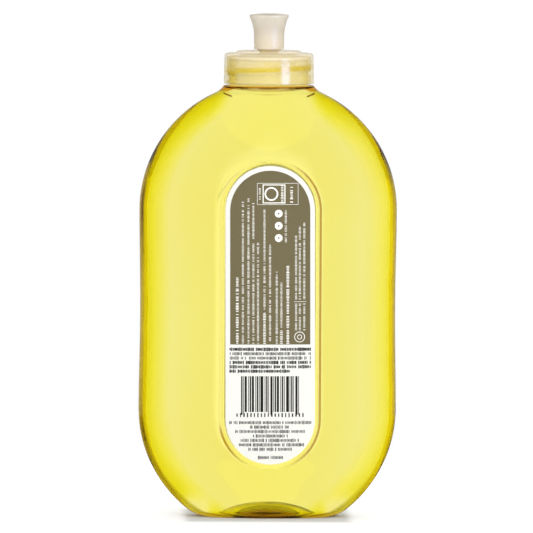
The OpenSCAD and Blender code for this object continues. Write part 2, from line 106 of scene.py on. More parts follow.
class Graph:
    """A node tree, with short calls for the nodes that come back."""

    def __init__(self, tree: bpy.types.NodeTree) -> None:
        """Takes the tree that the nodes go into."""
        self.tree = tree

    def add(self, kind: str, inputs: dict[str | int, Any] | None = None, **settings: Any) -> Any:
        """Adds one node with its settings, and feeds its inputs.

        Args:
            kind: Blender's type name of the node.
            inputs: for an input's name or index, a plain value or the output socket to link to it.
            **settings: properties of the node.

        Returns:
            The outputs of the node.
        """
        node = self.tree.nodes.new(kind)
        for name, value in settings.items():
            setattr(node, name, value)
        for key, value in (inputs or {}).items():
            if isinstance(value, bpy.types.NodeSocket):
                self.tree.links.new(value, node.inputs[key])
            else:
                node.inputs[key].default_value = value
        return node.outputs

    def shader(self, kind: str, inputs: dict[str | int, Any]) -> bpy.types.NodeSocket:
        """Adds a shader node, named without its prefix, and gives its first output."""
        return self.add("ShaderNode" + kind, inputs)[0]

    def math(self, operation: str, *values: Any, **settings: Any) -> bpy.types.NodeSocket:
        """Adds a calculation on one to three values."""
        return self.add("ShaderNodeMath", dict(enumerate(values)), operation=operation, **settings)[0]

    def product(self, *values: Any) -> bpy.types.NodeSocket:
        """Multiplies two or more values.

        Args:
            *values: the values.

        Returns:
            Their product.
        """
        result = values[0]
        for value in values[1:]:
            result = self.math("MULTIPLY", result, value)
        return result

    def rays(self, *kinds: str) -> bpy.types.NodeSocket:
        """Finds out whether a ray is of one of some kinds.

        Args:
            *kinds: the kinds, such as "Camera".

        Returns:
            1 for such a ray, and 0 for the others.
        """
        result, *others = (self.path[f"Is {kind} Ray"] for kind in kinds)
        for flag in others:
            result = self.math("MAXIMUM", result, flag)
        return result

    def span(
        self, value: Any, start: float, end: float, low: Any = 0.0, high: Any = 1.0, smooth: bool = True
    ) -> bpy.types.NodeSocket:
        """Carries a value from one span over to another.

        Args:
            value: the value.
            start: where the result is low.
            end: where the result is high.
            low: result at the start and before it.
            high: result at the end and past it.
            smooth: ease in and out, instead of going straight.

        Returns:
            The result.
        """
        kind = "SMOOTHSTEP" if smooth else "LINEAR"
        inputs = {"Value": value, 1: start, 2: end, 3: low, 4: high}
        return self.add("ShaderNodeMapRange", inputs, interpolation_type=kind)[0]

    def eased(self, value: Any, start: float, end: float, low: float = 0.0, high: float = 1.0) -> Any:
        """Eases from low to high between two lengths in millimetres, for a value in metres."""
        return self.span(value, start * MM, end * MM, low, high)

    def mixed(self, share: Any, low: Any, high: Any, blend: str = "MIX") -> bpy.types.NodeSocket:
        """Mixes two colours by a share."""
        inputs = {0: share, 6: colour(low), 7: colour(high)}
        return self.add("ShaderNodeMix", inputs, data_type="RGBA", blend_type=blend)[2]

    def blend(self, share: Any, low: Any, high: Any) -> bpy.types.NodeSocket:
        """Mixes two numbers by a share."""
        return self.add("ShaderNodeMix", {0: share, 2: low, 3: high}, data_type="FLOAT")[0]

    def either(self, share: Any, first: Any, second: Any) -> bpy.types.NodeSocket:
        """Mixes two shaders by a share."""
        return self.shader("MixShader", {0: share, 1: first, 2: second})

    def ramp(self, value: Any, levels: Stops, top: float = 1.0) -> bpy.types.NodeSocket:
        """Colours a value by stops.

        Args:
            value: the value.
            levels: place and colour of each stop, where a plain number stands for a grey.
            top: place that counts as 1.

        Returns:
            The colour.
        """
        node = self.tree.nodes.new("ShaderNodeValToRGB")
        self.tree.links.new(value, node.inputs["Fac"])
        stops = node.color_ramp.elements
        for k, (at, level) in enumerate(levels):
            stop = stops[k] if k < 2 else stops.new(at / top)
            grey = isinstance(level, (int, float))
            stop.position, stop.color = at / top, colour((level, level, level) if grey else level)
        return node.outputs["Color"]

    def length(self, x: Any, y: Any) -> bpy.types.NodeSocket:
        """Length of a flat vector."""
        flat = self.add("ShaderNodeCombineXYZ", {"X": x, "Y": y})[0]
        return self.add("ShaderNodeVectorMath", {0: flat}, operation="LENGTH")["Value"]

    @cached_property
    def place(self) -> bpy.types.NodeSocket:
        """Place on the object, in metres."""
        return self.add("ShaderNodeTexCoord")["Object"]

    @cached_property
    def spot(self) -> tuple[bpy.types.NodeSocket, ...]:
        """X, Y and Z of the place."""
        return tuple(self.add("ShaderNodeSeparateXYZ", {"Vector": self.place}))

    @cached_property
    def wide(self) -> bpy.types.NodeSocket:
        """Distance of the place from the middle plane, to either side."""
        return self.math("ABSOLUTE", self.spot[0])

    @cached_property
    def facing(self) -> bpy.types.NodeSocket:
        """How far the surface turns away from the ray: 0 when it faces it, 1 when it is edge on."""
        return self.add("ShaderNodeLayerWeight", {"Blend": 0.5})["Facing"]

    @cached_property
    def path(self) -> Any:
        """What kind of ray asks."""
        return self.add("ShaderNodeLightPath")

    def grain(self, spacing_mm: float, detail: float = 2.0) -> bpy.types.NodeSocket:
        """Noise with a real distance in millimetres from one spot to the next."""
        inputs = {"Vector": self.place, "Scale": 1 / (spacing_mm * MM), "Detail": detail}
        return self.add("ShaderNodeTexNoise", inputs)["Fac"]

    def bump(self, height: Any, strength: float, depth_mm: float) -> bpy.types.NodeSocket:
        """Turns a pattern into a bent normal, as if it stood out by a depth."""
        return self.shader("Bump", {"Height": height, "Strength": strength, "Distance": depth_mm * MM})

    def lit_cone(self, heights: Flat, sides: Flat) -> bpy.types.NodeSocket:
        """A share that is 1 in the middle of the body over a height, and eases to 0 around it.

        Args:
            heights: heights between which the share goes from 0 to 1.
            sides: distances to the sides between which it goes from 0 to 1.

        Returns:
            The share.
        """
        return self.product(self.eased(self.spot[2], *heights), self.eased(self.wide, *sides[::-1], 1.0, 0.0))

    def panel_distance(self, panel: "BodyForm") -> bpy.types.NodeSocket:
        """Distance from the line that runs up a panel between the centres of its round ends.

        Args:
            panel: the body with the panels' sizes.

        Returns:
            The distance in metres.
        """
        x, _, z = self.spot
        low, high = panel.panel_low + panel.panel_r, panel.panel_top - panel.panel_r
        foot = self.shader("Clamp", {"Value": z, "Min": low * MM, "Max": high * MM})
        return self.length(self.math("SUBTRACT", x, panel.panel_shift * MM), self.math("SUBTRACT", z, foot))


def new_material(name: str) -> tuple[bpy.types.Material, Graph]:
    """Makes an empty node material.

    Args:
        name: name of the material.

    Returns:
        The material and its graph.
    """
    made = bpy.data.materials.new(name)
    made.use_nodes = True
    made.node_tree.nodes.clear()
    return made, Graph(made.node_tree)


def smoothed(mesh: bpy.types.Mesh) -> None:
    """Shades a mesh smooth and keeps its sharp edges."""
    mesh.shade_smooth()
    mesh.set_sharp_from_angle(angle=SHARP)


def placed(name: str, data: bpy.types.ID) -> bpy.types.Object:
    """Puts data into the scene as an object.

    Args:
        name: name of the object.
        data: its mesh, lamp or camera.

    Returns:
        The object.
    """
    made = bpy.data.objects.new(name, data)
    bpy.context.scene.collection.objects.link(made)
    return made


def mesh_object(
    name: str, points: np.ndarray, faces: Sequence[Sequence[int]], closed: bool = True
) -> bpy.types.Object:
    """Makes a smooth mesh object at the origin from points in millimetres.

    Args:
        name: name of the object and its mesh.
        points: one row of x, y, z for each point.
        faces: point numbers of each face.
        closed: turn the faces outwards, which needs a closed shape.

    Returns:
        The object, linked to the scene.
    """
    mesh = bpy.data.meshes.new(name)
    mesh.from_pydata((np.asarray(points, float) * MM).tolist(), [], [list(f) for f in faces])
    if closed:
        work = bmesh.new()
        work.from_mesh(mesh)
        bmesh.ops.recalc_face_normals(work, faces=work.faces)
        work.to_mesh(mesh)
        work.free()
    smoothed(mesh)
    return placed(name, mesh)


def skin_faces(rings: int, size: int, poles: bool) -> list[list[int]]:
    """Faces of a skin over rings of equal size.

    Args:
        rings: number of rings.
        size: points in each ring.
        poles: whether the first and the last ring close onto the two points after the rings.

    Returns:
        The faces, four-sided between rings and three-sided at the poles.
    """
    faces = []
    for i in range(rings - 1):
        for j in range(size):
            k = (j + 1) % size
            faces.append([i * size + j, i * size + k, (i + 1) * size + k, (i + 1) * size + j])
    if poles:
        last, top = (rings - 1) * size, rings * size
        faces += [[top, (j + 1) % size, j] for j in range(size)]
        faces += [[last + j, last + (j + 1) % size, top + 1] for j in range(size)]
    return faces


def lathe(
    name: str, loop: Sequence[Flat], segments: int, bump: Callable[[float, float, float], float] | None = None
) -> bpy.types.Object:
    """Turns a closed outline around the Z axis.

    Args:
        name: name of the object.
        loop: radius and height of each corner of the outline, none of them on the axis.
        segments: number of steps around.
        bump: for an angle in degrees, a radius and a height, how far the point moves outwards.

    Returns:
        The turned object.
    """
    points = []
    for r, z in loop:
        for k in range(segments):
            angle = 360 * k / segments
            out = r + (bump(angle, r, z) if bump else 0)
            points.append((out * math.cos(math.radians(angle)), out * math.sin(math.radians(angle)), z))
    faces = []
    for i in range(len(loop)):
        here, there = i * segments, (i + 1) % len(loop) * segments
        for j in range(segments):
            k = (j + 1) % segments
            faces.append([here + j, here + k, there + k, there + j])
    return mesh_object(name, np.array(points), faces)


def rounded(corners: Sequence[Point], steps: int = 4) -> list[Flat]:
    """Rounds the corners of a closed outline.

    Args:
        corners: radius, height and rounding radius of each corner.
        steps: number of steps over each rounded corner.

    Returns:
        The outline's points.
    """
    out: list[Flat] = []
    for k, (x, z, r) in enumerate(corners):
        if r <= 0:
            out.append((x, z))
            continue
        here = Vector((x, z))
        before = Vector(corners[k - 1][:2]) - here
        after = Vector(corners[(k + 1) % len(corners)][:2]) - here
        half = before.angle(after) / 2
        reach = min(r / math.tan(half), before.length * MOST_OF_SIDE, after.length * MOST_OF_SIDE)
        start, end = here + before.normalized() * reach, here + after.normalized() * reach
        for s in range(steps + 1):
            t = s / steps
            spot = start * (1 - t) ** 2 + here * 2 * t * (1 - t) + end * t * t
            out.append((spot.x, spot.y))
    return out


def between(a: float, b: float, count: int) -> list[float]:
    """Even steps from a to b, without a and with b."""
    return [a + (b - a) * k / count for k in range(1, count + 1)]


def smoothstep(share: float) -> float:
    """Eases a share that runs from 0 to 1."""
    share = min(1.0, max(0.0, share))
    return share * share * (3 - 2 * share)


def wear(made: bpy.types.Object, *finishes: bpy.types.Material) -> bpy.types.Object:
    """Gives an object its materials.

    Args:
        made: the object.
        *finishes: the materials, in the order of its slots.

    Returns:
        The object.
    """
    made.data.materials.clear()
    for finish in finishes:
        made.data.materials.append(finish)
    return made


def report(made: bpy.types.Object, body: str, nodes: Sequence[str]) -> None:
    """Rides a finished piece on its body, hides the CAD nodes it stands for and logs it.

    Args:
        made: finished piece.
        body: CAD body that the piece moves with.
        nodes: CAD nodes that the piece stands for.
    """
    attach(made, body)
    if nodes:
        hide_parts(*nodes)
    LOG.info("%s: %d faces, rides on %s", made.name, len(made.data.polygons), body)


# Finishes


@dataclass(frozen=True)
class BlownPet:
    """Stretch-blown PET: clear and glossy, with the slow waves that blowing leaves in the wall.

    Its colour carries painted light and shade: painted shade and painted gold at the rim where the eye grazes
    it, heavier up parts of each side, painted shade at the foot, the dome, the ledge, the crease under it and
    the step around the near panel, and painted golden light on the neck's thread. Shares, in this class, run
    from 0 to 1 over the lengths of a pair.
    """

    tint: str = "FFFDF4"
    # Painted shade at the rim, darker as the surface turns from the eye
    rim: Stops = (
        (0.42, "FFFDF4"), (0.46, "D6C684"), (0.51, "705A2A"), (0.57, "1C1004"),
        (0.64, "503E1C"), (0.74, "D0B880"), (0.9, "FFF0D0"),
    )
    # Painted gold at the rim, as the surface turns from the eye
    amber: Stops = ((0.44, "FFFFFF"), (0.52, "FFF650"), (0.7, "FFF424"), (0.85, "FFF680"))
    # How much of the painted rim shade each side takes, by height
    rim_shade_left: Stops = (
        (0, 0.8), (6, 0.6), (22, 0.7), (30, 0.75), (36, 0.95), (41, 0.9), (53, 0.5), (66, 0.22),
        (92, 0.12), (110, 0.35), (124, 0.75), (136, 1), (146, 0.95), (154, 0.5), (162, 0.1), (170, 0),
    )
    rim_shade_right: Stops = (
        (0, 0.9), (7, 0.5), (13, 0.4), (24, 0.1), (40, 0),
        (128, 0), (142, 0.25), (153, 0.6), (161, 0.15), (168, 0),
    )
    rim_top: float = 200.0
    rim_turn: float = 8.0
    # Painted amber shade at the foot
    foot: Flat = (3.2, 0.8)
    painted_foot_shade: str = "F2BE3C"
    # Painted amber shade over the steep part of the dome, on the dry and the wetted wall
    dome: Flat = (28.6, 27.6)
    dome_oval: float = 1.452
    dome_top: Flat = (5.0, 4.2)
    dome_arch: float = 0.0116
    painted_dome_shade: str = "FFD890"
    painted_wet_dome_shade: str = "F8E480"
    # Painted dark shade along the ledge
    ledge_z: float = 193.95
    ledge: Flat = (1.1, 0.1)
    painted_ledge_shade: str = "BC6A08"
    ledge_ends: Flat = (14.0, 19.5)
    ledge_drop: float = 0.8
    # Painted dark shade in the crease under the ledge
    crease: Point = (20.2, 190.95, 0.35)
    crease_edge: Flat = (0.6, 0.2)
    crease_ends: tuple[Flat, Flat] = ((16.4, 17.2), (20.9, 20.3))
    painted_crease_shade: str = "5A340A"
    # No painted rim shade up the cone, where the body is lit straight through
    cone: tuple[Flat, Flat] = ((180.0, 188.0), (24.0, 15.0))
    # Painted dark shade along the step around the near panel
    step: Flat = (21.85, 22.1)
    step_w: float = 0.8
    painted_step_shade: Point = (0.3, 0.14, 0.0)
    step_side: Flat = (6.0, 19.0)
    step_left: float = 0.12
    step_low: float = 15.0
    near_side: Flat = (0.0, -5.0)
    # Where the painted golden light lies on the neck's thread, and its colour
    neck: Flat = (17.64, 17.76)
    neck_z: Flat = (195.2, 195.5)
    thread: str = "EBCB10"
    ior: float = 1.57
    roughness: float = 0.015
    wave_mm: float = 14.0
    wave_strength: float = 0.012

    def dry(self, panel: "BodyForm") -> bpy.types.Material:
        """The wall where air touches it on the outside, and above the liquid inside.

        Args:
            panel: the body, for the place of its sunk panels.

        Returns:
            The material.
        """
        made, g = new_material("blown_PET")
        x, y, z = g.spot
        dome = self.dome_share(g)
        # The wall's tint takes painted shade at the foot, the dome, the ledge, the panel's step and the
        # crease, and painted golden light on the neck's thread
        layers = (
            (g.eased(z, *self.foot), self.painted_foot_shade),
            (dome, self.painted_dome_shade),
            (self.ledge_shade_share(g), self.painted_ledge_shade),
            (g.product(g.eased(g.length(x, y), *self.neck), g.eased(z, *self.neck_z)), self.thread),
            (self.step_shade_share(g, panel), self.painted_step_shade),
            (self.crease_shade_share(g), self.painted_crease_shade),
        )
        tint = linear(self.tint)
        for share, code in layers:
            tint = g.mixed(share, tint, code)
        # Painted rim shade, then painted gold, where the eye grazes the wall
        dark = g.mixed(self.rim_shade_share(g), WHITE, g.ramp(g.facing, self.rim))
        golden = g.mixed(1.0, dark, g.ramp(g.facing, self.amber), "MULTIPLY")
        # No painted rim shade up the cone and over the dome, where the body is lit straight through
        edge = g.mixed(g.math("MAXIMUM", g.lit_cone(*self.cone), dome), golden, WHITE)
        wall = {
            "Base Color": g.mixed(1.0, tint, edge, "MULTIPLY"),
            "Roughness": self.roughness,
            "IOR": self.ior,
            "Transmission Weight": 1.0,
            "Normal": g.bump(g.grain(self.wave_mm, 1.0), self.wave_strength, self.wave_mm),
        }
        g.add("ShaderNodeOutputMaterial", {"Surface": g.shader("BsdfPrincipled", wall)})
        return made

    def wet(self, liquid_ior: float) -> bpy.types.Material:
        """The inner wall that the liquid wets, where light passes straight from plastic to liquid.

        Args:
            liquid_ior: refractive index of the liquid.

        Returns:
            The material.
        """
        made, g = new_material("blown_PET_wetted")
        # Painted amber shade over the steep part of the dome
        tint = g.mixed(self.dome_share(g), self.tint, self.painted_wet_dome_shade)
        wall = g.shader("BsdfGlass", {"Color": tint, "Roughness": 0.0, "IOR": self.ior / liquid_ior})
        g.add("ShaderNodeOutputMaterial", {"Surface": wall})
        return made

    def ledge_shade_share(self, g: Graph) -> bpy.types.NodeSocket:
        """Where painted dark shade lies along the ledge, as a band that reaches lower at its two ends.

        Args:
            g: graph of the material.

        Returns:
            The share.
        """
        lower = g.eased(g.wide, *self.ledge_ends, 0.0, self.ledge_drop * MM)
        off = g.math("ADD", g.math("SUBTRACT", g.spot[2], self.ledge_z * MM), lower)
        return g.eased(g.math("SUBTRACT", g.math("ABSOLUTE", off), lower), *self.ledge)

    def dome_share(self, g: Graph) -> bpy.types.NodeSocket:
        """Where painted amber shade lies on the lower, steep part of the dome, inside the oval ring that it
        stands on.

        Args:
            g: graph of the material.

        Returns:
            The share.
        """
        x, y, z = g.spot
        inside = g.eased(g.length(x, g.product(y, self.dome_oval)), *self.dome)
        arch = g.math("MULTIPLY_ADD", g.product(x, x), self.dome_arch / MM, z)
        return g.product(inside, g.eased(arch, *self.dome_top))

    def rim_shade_share(self, g: Graph) -> bpy.types.NodeSocket:
        """How much painted rim shade the wall takes, up the left side and up the right side.

        Args:
            g: graph of the material.

        Returns:
            The share.
        """
        height = g.math("DIVIDE", g.spot[2], self.rim_top * MM)
        sides = [g.ramp(height, levels, self.rim_top) for levels in (self.rim_shade_left, self.rim_shade_right)]
        return g.mixed(g.eased(g.spot[0], -self.rim_turn, self.rim_turn), *sides)

    def crease_shade_share(self, g: Graph) -> bpy.types.NodeSocket:
        """Where painted dark shade lies in the crease, as the cone folds into the shoulder on each side under
        the ledge.

        Args:
            g: graph of the material.

        Returns:
            The share.
        """
        x, z, slope = self.crease
        lean = g.math("MULTIPLY_ADD", g.wide, -slope, g.spot[2])
        off = g.math("ABSOLUTE", g.math("SUBTRACT", lean, (z - slope * x) * MM))
        sides = [g.eased(g.wide, *ends) for ends in self.crease_ends]
        return g.product(g.eased(off, *self.crease_edge), *sides)

    def step_shade_share(self, g: Graph, panel: "BodyForm") -> bpy.types.NodeSocket:
        """Where painted dark shade lies along the step around the near panel.

        Args:
            g: graph of the material.
            panel: the body, for the place of its sunk panels.

        Returns:
            The share.
        """
        x, y, z = g.spot
        away, (low, full) = g.panel_distance(panel), self.step
        end = full + self.step_w
        line = g.math("MINIMUM", g.eased(away, low, full), g.eased(away, full - low + end, end))
        start, whole = self.step_side
        lower = g.eased(z, panel.panel_low + panel.panel_r, panel.panel_low + self.step_low)
        left = g.product(g.eased(x, -start, -whole), g.math("MAXIMUM", lower, self.step_left))
        side = g.math("MAXIMUM", g.eased(x, start, whole), left)
        return g.product(side, g.eased(y, *self.near_side), line)


@dataclass(frozen=True)
class CleanerLiquid:
    """Clear dyed cleaner, nearly water, which takes the blue out of what is seen through it.

    Where the eye meets its side at a slant, its colour takes painted shade that turns it to deep gold
    and darker towards the rim, less so on the right side.
    """

    ior: float = 1.34
    keeps: Point = (0.942, 0.919, 0.016)
    density_per_m: float = 31.0
    slant: Flat = (0.04, 0.14)
    # Where the painted rim shade is left off
    cone: tuple[Flat, Flat] = ((172.0, 186.0), (28.0, 16.0))
    panel_edge: Flat = (22.4, 23.4)
    foot_zone: tuple[Flat, Flat] = ((16.0, 6.0), (42.0, 34.0))
    dome_zone: tuple[Flat, Flat] = ((16.0, 6.0), (28.0, 22.0))
    # Where, and how much, of the painted rim shade is kept on the right side
    right: Flat = (20.0, 42.0)
    shade_kept_right: float = 0.5
    # Painted shade at the rim, deep gold and darker where the side turns from the eye
    rim: Stops = (
        (0.0, (1.0, 1.0, 1.0)), (0.12, (0.99, 0.985, 0.66)), (0.24, (0.97, 0.96, 0.42)),
        (0.45, (0.94, 0.925, 0.2)), (0.66, (0.9, 0.88, 0.1)), (1.0, (0.87, 0.845, 0.04)),
    )
    # Painted amber shade where the eye leaves the liquid at a slant
    inside_slant: Flat = (0.38, 0.62)
    painted_inside_shade: Point = (0.9, 0.7, 0.05)
    surface_drop: float = 0.2

    def material(self, fill_z: float, panel: "BodyForm") -> bpy.types.Material:
        """The liquid's side, which leaves the bending to the wall, its free surface and its volume.

        Args:
            fill_z: height of the free surface in millimetres.
            panel: the body, for the place of its sunk panels.

        Returns:
            The material.
        """
        made, g = new_material("dyed_cleaner_liquid")
        x, _, z = g.spot
        slant = g.span(g.facing, *self.slant, smooth=False)
        # The painted rim shade is left off around the panels, up the cone and beside the dome, where the body
        # is lit straight through
        foot = g.math("SUBTRACT", g.lit_cone(*self.foot_zone), g.lit_cone(*self.dome_zone))
        shaded = g.product(
            slant,
            g.eased(g.panel_distance(panel), *self.panel_edge),
            g.math("SUBTRACT", 1.0, g.lit_cone(*self.cone)),
            g.math("SUBTRACT", 1.0, foot),
            # Less painted rim shade on the right side, where the key light falls
            g.eased(x, *self.right, 1.0, self.shade_kept_right),
        )
        # The side's colour is painted rim shade, seen from outside and from inside
        inside = g.mixed(g.span(g.facing, *self.inside_slant), WHITE, self.painted_inside_shade)
        back = g.add("ShaderNodeNewGeometry")["Backfacing"]
        side = g.shader("BsdfTransparent", {"Color": g.mixed(back, g.ramp(shaded, self.rim), inside)})
        free = g.shader("BsdfGlass", {"Roughness": 0.0, "IOR": self.ior})
        above = g.math("GREATER_THAN", z, (fill_z - self.surface_drop) * MM)
        dye = {"Color": (*self.keeps, 1), "Density": self.density_per_m}
        volume = g.shader("VolumeAbsorption", dye)
        surface = g.either(above, side, free)
        g.add("ShaderNodeOutputMaterial", {"Surface": surface, "Volume": volume})
        return made


@dataclass(frozen=True)
class LabelFilm:
    """White polypropylene label film, smooth and half glossy, with a trace of calender grain."""

    name: str = "white_polypropylene_film"
    hue: str = "F6F6F4"
    roughness: float = 0.42
    grain_mm: float = 0.9
    grain_strength: float = 0.05
    grain_depth: float = 0.02
    translucency: float = 0.3
    ior: float = 1.49

    def material(self) -> bpy.types.Material:
        """The film's material, part of which passes light on.

        Returns:
            The material.
        """
        made, g = new_material(self.name)
        film = {
            "Base Color": linear(self.hue),
            "Roughness": self.roughness,
            "IOR": self.ior,
            "Normal": g.bump(g.grain(self.grain_mm), self.grain_strength, self.grain_depth),
        }
        glow = g.shader("BsdfTranslucent", {"Color": linear(self.hue)})
        both = g.either(self.translucency, g.shader("BsdfPrincipled", film), glow)
        g.add("ShaderNodeOutputMaterial", {"Surface": both})
        return made


@dataclass(frozen=True)
class PrintedInk:
    """A flat film of printing ink, slightly mottled where it lies thinner."""

    name: str
    hue: str
    thin: str
    mottle_mm: float = 1.6
    roughness: float = 0.5
    ior: float = 1.48

    def material(self) -> bpy.types.Material:
        """The ink's material.

        Returns:
            The material.
        """
        made, g = new_material(self.name)
        hue = g.mixed(g.grain(self.mottle_mm, 3.0), self.hue, self.thin)
        film = {"Base Color": hue, "Roughness": self.roughness, "IOR": self.ior}
        g.add("ShaderNodeOutputMaterial", {"Surface": g.shader("BsdfPrincipled", film)})
        return made


@dataclass(frozen=True)
class MilkyPlastic:
    """Natural, unfilled polyolefin, moulded: milky, waxy to the eye, and half seen through in a thin wall."""

    name: str
    hue: str
    dense: str
    clear: float
    roughness: float = 0.16
    thin: str = "FFFFFF"
    fade: Flat = (0.0, 1.0)
    # Colour and place of the painted golden light along the thread and up the skirt's sides
    wet: str = "FFFFFF"
    painted_light_band: Point = (-100.0, 0.5, 0.0)
    band_edge: float = 0.5
    painted_light_sides: tuple[Flat, Flat] = ((100.0, 101.0), (103.0, 102.0))
    painted_light_top: Flat = (1.0, 0.0)
    painted_light_strengths: Point = (0.0, 0.0, 0.0)
    turn: Flat = (-1.0, 1.0)
    haze: float = 0.42
    grain_mm: float = 2.4
    grain_strength: float = 0.04
    grain_depth: float = 0.05
    ior: float = 1.5

    def material(self) -> bpy.types.Material:
        """The plastic's material: a haze that scatters and passes light, with a share that is seen through.

        Returns:
            The material.
        """
        made, g = new_material(self.name)
        cloud = g.grain(self.grain_mm)
        hue = g.mixed(cloud, self.hue, self.dense)
        # Over the fade's heights the hue turns to thin, darker towards the top
        hue = g.mixed(g.eased(g.spot[2], *self.fade), hue, self.thin)
        # Painted golden light along the thread and up the skirt's sides
        hue = g.mixed(self.painted_light_share(g), hue, self.wet)
        shell = {
            "Base Color": hue,
            "Roughness": self.roughness,
            "IOR": self.ior,
            "Normal": g.bump(cloud, self.grain_strength, self.grain_depth),
        }
        glow = g.shader("BsdfTranslucent", {"Color": hue})
        haze = g.either(self.haze, g.shader("BsdfPrincipled", shell), glow)
        mixed = g.either(self.clear, haze, g.shader("BsdfTransparent", {"Color": WHITE}))
        g.add("ShaderNodeOutputMaterial", {"Surface": mixed})
        return made

    def painted_light_share(self, g: Graph) -> bpy.types.NodeSocket:
        """Where painted golden light lies on the haze: a band along the thread, and up the skirt's sides.

        Args:
            g: graph of the material.

        Returns:
            The share.
        """
        x, _, z = g.spot
        middle, half, slope = self.painted_light_band
        band, left, right = self.painted_light_strengths
        off = g.math("SUBTRACT", g.math("MULTIPLY_ADD", x, -slope, z), middle * MM)
        ring = g.eased(g.math("ABSOLUTE", off), half, half + self.band_edge, band, 0.0)
        ends = [g.eased(g.wide, *side) for side in self.painted_light_sides]
        side = g.product(g.eased(x, *self.turn, left, right), *ends, g.eased(z, *self.painted_light_top))
        return g.math("MAXIMUM", ring, side)


# The body with its liquid


class Side(Enum):
    """The two broad sides, with the sign of their Y."""

    INFORMATION = -1
    FRONT = 1


@dataclass(frozen=True)
class BodyForm:
    """Section rule of the blown body, the same as the CAD solid's, and where its panels are sunk in."""

    width: float = 116.0
    depth: float = 50.0
    ledge_z: float = 194.2
    foot_w: float = 63.0
    foot_d: float = 45.0
    foot_edge: float = 2.6
    heel_h: float = 22.0
    waist: float = 0.55
    squareness: float = 2.1
    wall: float = 0.7
    dome_h: float = 7.0
    dome_power: float = 2.3
    stand_band: float = 1.6
    cone_half_w: float = 24.0
    cone_half_d: float = 22.8
    cone_h: float = 3.3
    ledge_r: float = 19.9
    ledge_edge: float = 0.7
    shoulder_drop: float = 44.0
    panel_w: float = 42.3
    panel_h: float = 136.3
    panel_low: float = 23.6
    panel_sink: float = 0.4
    panel_slope: float = 0.6
    panel_curve: float = 150.0
    panel_shift: float = 0.8
    tip_half_w: float = 1.2
    side_cols: int = 24
    slope_cols: int = 4
    panel_cols: int = 13
    tip_growth: float = 0.2
    tip_share: float = 0.45
    base_steps: int = 18
    foot_steps: int = 8
    heel_steps: int = 16
    heel_gap: float = 0.4
    end_steps: int = 26
    end_density: float = 1.15
    side_steps: int = 26

    @cached_property
    def end_r(self) -> float:
        """Radius of the round sides."""
        return self.width / 2

    @cached_property
    def low_z(self) -> float:
        """Height where the lower round ends."""
        return math.sqrt(self.end_r**2 - self.foot_w**2 / 4)

    @cached_property
    def cone_z(self) -> float:
        """Height where the neck cone starts."""
        return self.ledge_z - self.cone_h

    @cached_property
    def high_z(self) -> float:
        """Height where the shoulder's round starts."""
        return self.cone_z - math.sqrt(self.end_r**2 - self.cone_half_w**2)

    @cached_property
    def panel_r(self) -> float:
        """Radius of the panels' round ends."""
        return self.panel_w / 2

    @cached_property
    def panel_top(self) -> float:
        """Height of the panels' upper end."""
        return self.panel_low + self.panel_h

    def half_w(self, z: float, t: float) -> float:
        """Half width of the section.

        Args:
            z: height of the section.
            t: depth inside the outer face.

        Returns:
            The half width.
        """
        r = self.end_r - t
        if z < self.low_z:
            return math.sqrt(max(0.0, r * r - (self.low_z - z) ** 2))
        if z > self.high_z:
            return math.sqrt(max(0.0, r * r - (z - self.high_z) ** 2))
        share = (2 * z - self.low_z - self.high_z) / (self.high_z - self.low_z)
        return r - self.waist * (1 - share * share) ** 2

    def shoulder_share(self, z: float) -> float:
        """Share of the way from the shoulder's start up to the neck cone."""
        start = self.ledge_z - self.shoulder_drop
        return min(1.0, max(0.0, z - start) / (self.cone_z - start))

    def half_d(self, z: float, t: float) -> float:
        """Half depth of the section.

        Args:
            z: height of the section.
            t: depth inside the outer face.

        Returns:
            The half depth.
        """
        half = self.depth / 2
        if z < self.heel_h:
            return half - (half - self.foot_d / 2) * (1 - z / self.heel_h) ** 2 - t
        return half - (half - self.cone_half_d) * self.shoulder_share(z) ** 2 - t

    def exponent(self, z: float) -> float:
        """Exponent of the oval section, which is an ellipse at the top of the shoulder."""
        return self.squareness - (self.squareness - 2) * self.shoulder_share(z)

    def beyond_panel(self, z: float) -> float:
        """How far a height lies beyond the centre of the nearer round end of the panels."""
        return max(0.0, self.panel_low + self.panel_r - z, z - self.panel_top + self.panel_r)

    def pill(self, z: float, r: float) -> float:
        """Half width of a round-ended outline of radius r around the panels' middle line."""
        return math.sqrt(max(0.0, r * r - self.beyond_panel(z) ** 2))

    def columns(self, z: float, w: float, n: float) -> np.ndarray:
        """Places across one broad side, dense at the sides and along the panel's edge.

        Args:
            z: height of the ring.
            w: half width of the ring.
            n: exponent of its oval.

        Returns:
            The x places, from -w to w.
        """
        tips = max(0.0, self.beyond_panel(z) - self.panel_r)
        tip = self.tip_half_w + self.tip_growth * tips
        inner = min(self.tip_share * w, max(tip, self.pill(z, self.panel_r)))
        outer = max(inner + self.panel_slope, self.pill(z, self.panel_r + self.panel_slope))
        shift = self.panel_shift if w > self.panel_w else 0.0

        def sweep(start: float) -> list[float]:
            """Places from the oval's end in to another place, even in angle.

            Args:
                start: the other place.

            Returns:
                The places.
            """
            low = math.asin(min(1.0, start / w) ** (n / 2))
            turns = [math.pi / 2 - (math.pi / 2 - low) * k / self.side_cols for k in range(self.side_cols)]
            return [w * math.sin(turn) ** (2 / n) for turn in turns]

        slope = [(outer - inner) * k / self.slope_cols for k in range(self.slope_cols + 1)]
        left = [-x for x in sweep(outer - shift)] + [shift - outer + x for x in slope[:-1]]
        middle = [shift + inner * k / self.panel_cols for k in range(-self.panel_cols, self.panel_cols + 1)]
        right = [shift + inner + x for x in slope[1:]] + sweep(outer + shift)[::-1]
        return np.array(left + middle + right)

    def sunk(self, x: float, z: float) -> float:
        """Share of the panel's depth that the wall is drawn in at a place of a broad side."""
        off = math.hypot(x - self.panel_shift, self.beyond_panel(z)) - self.panel_r
        return 1 - smoothstep(off / self.panel_slope)

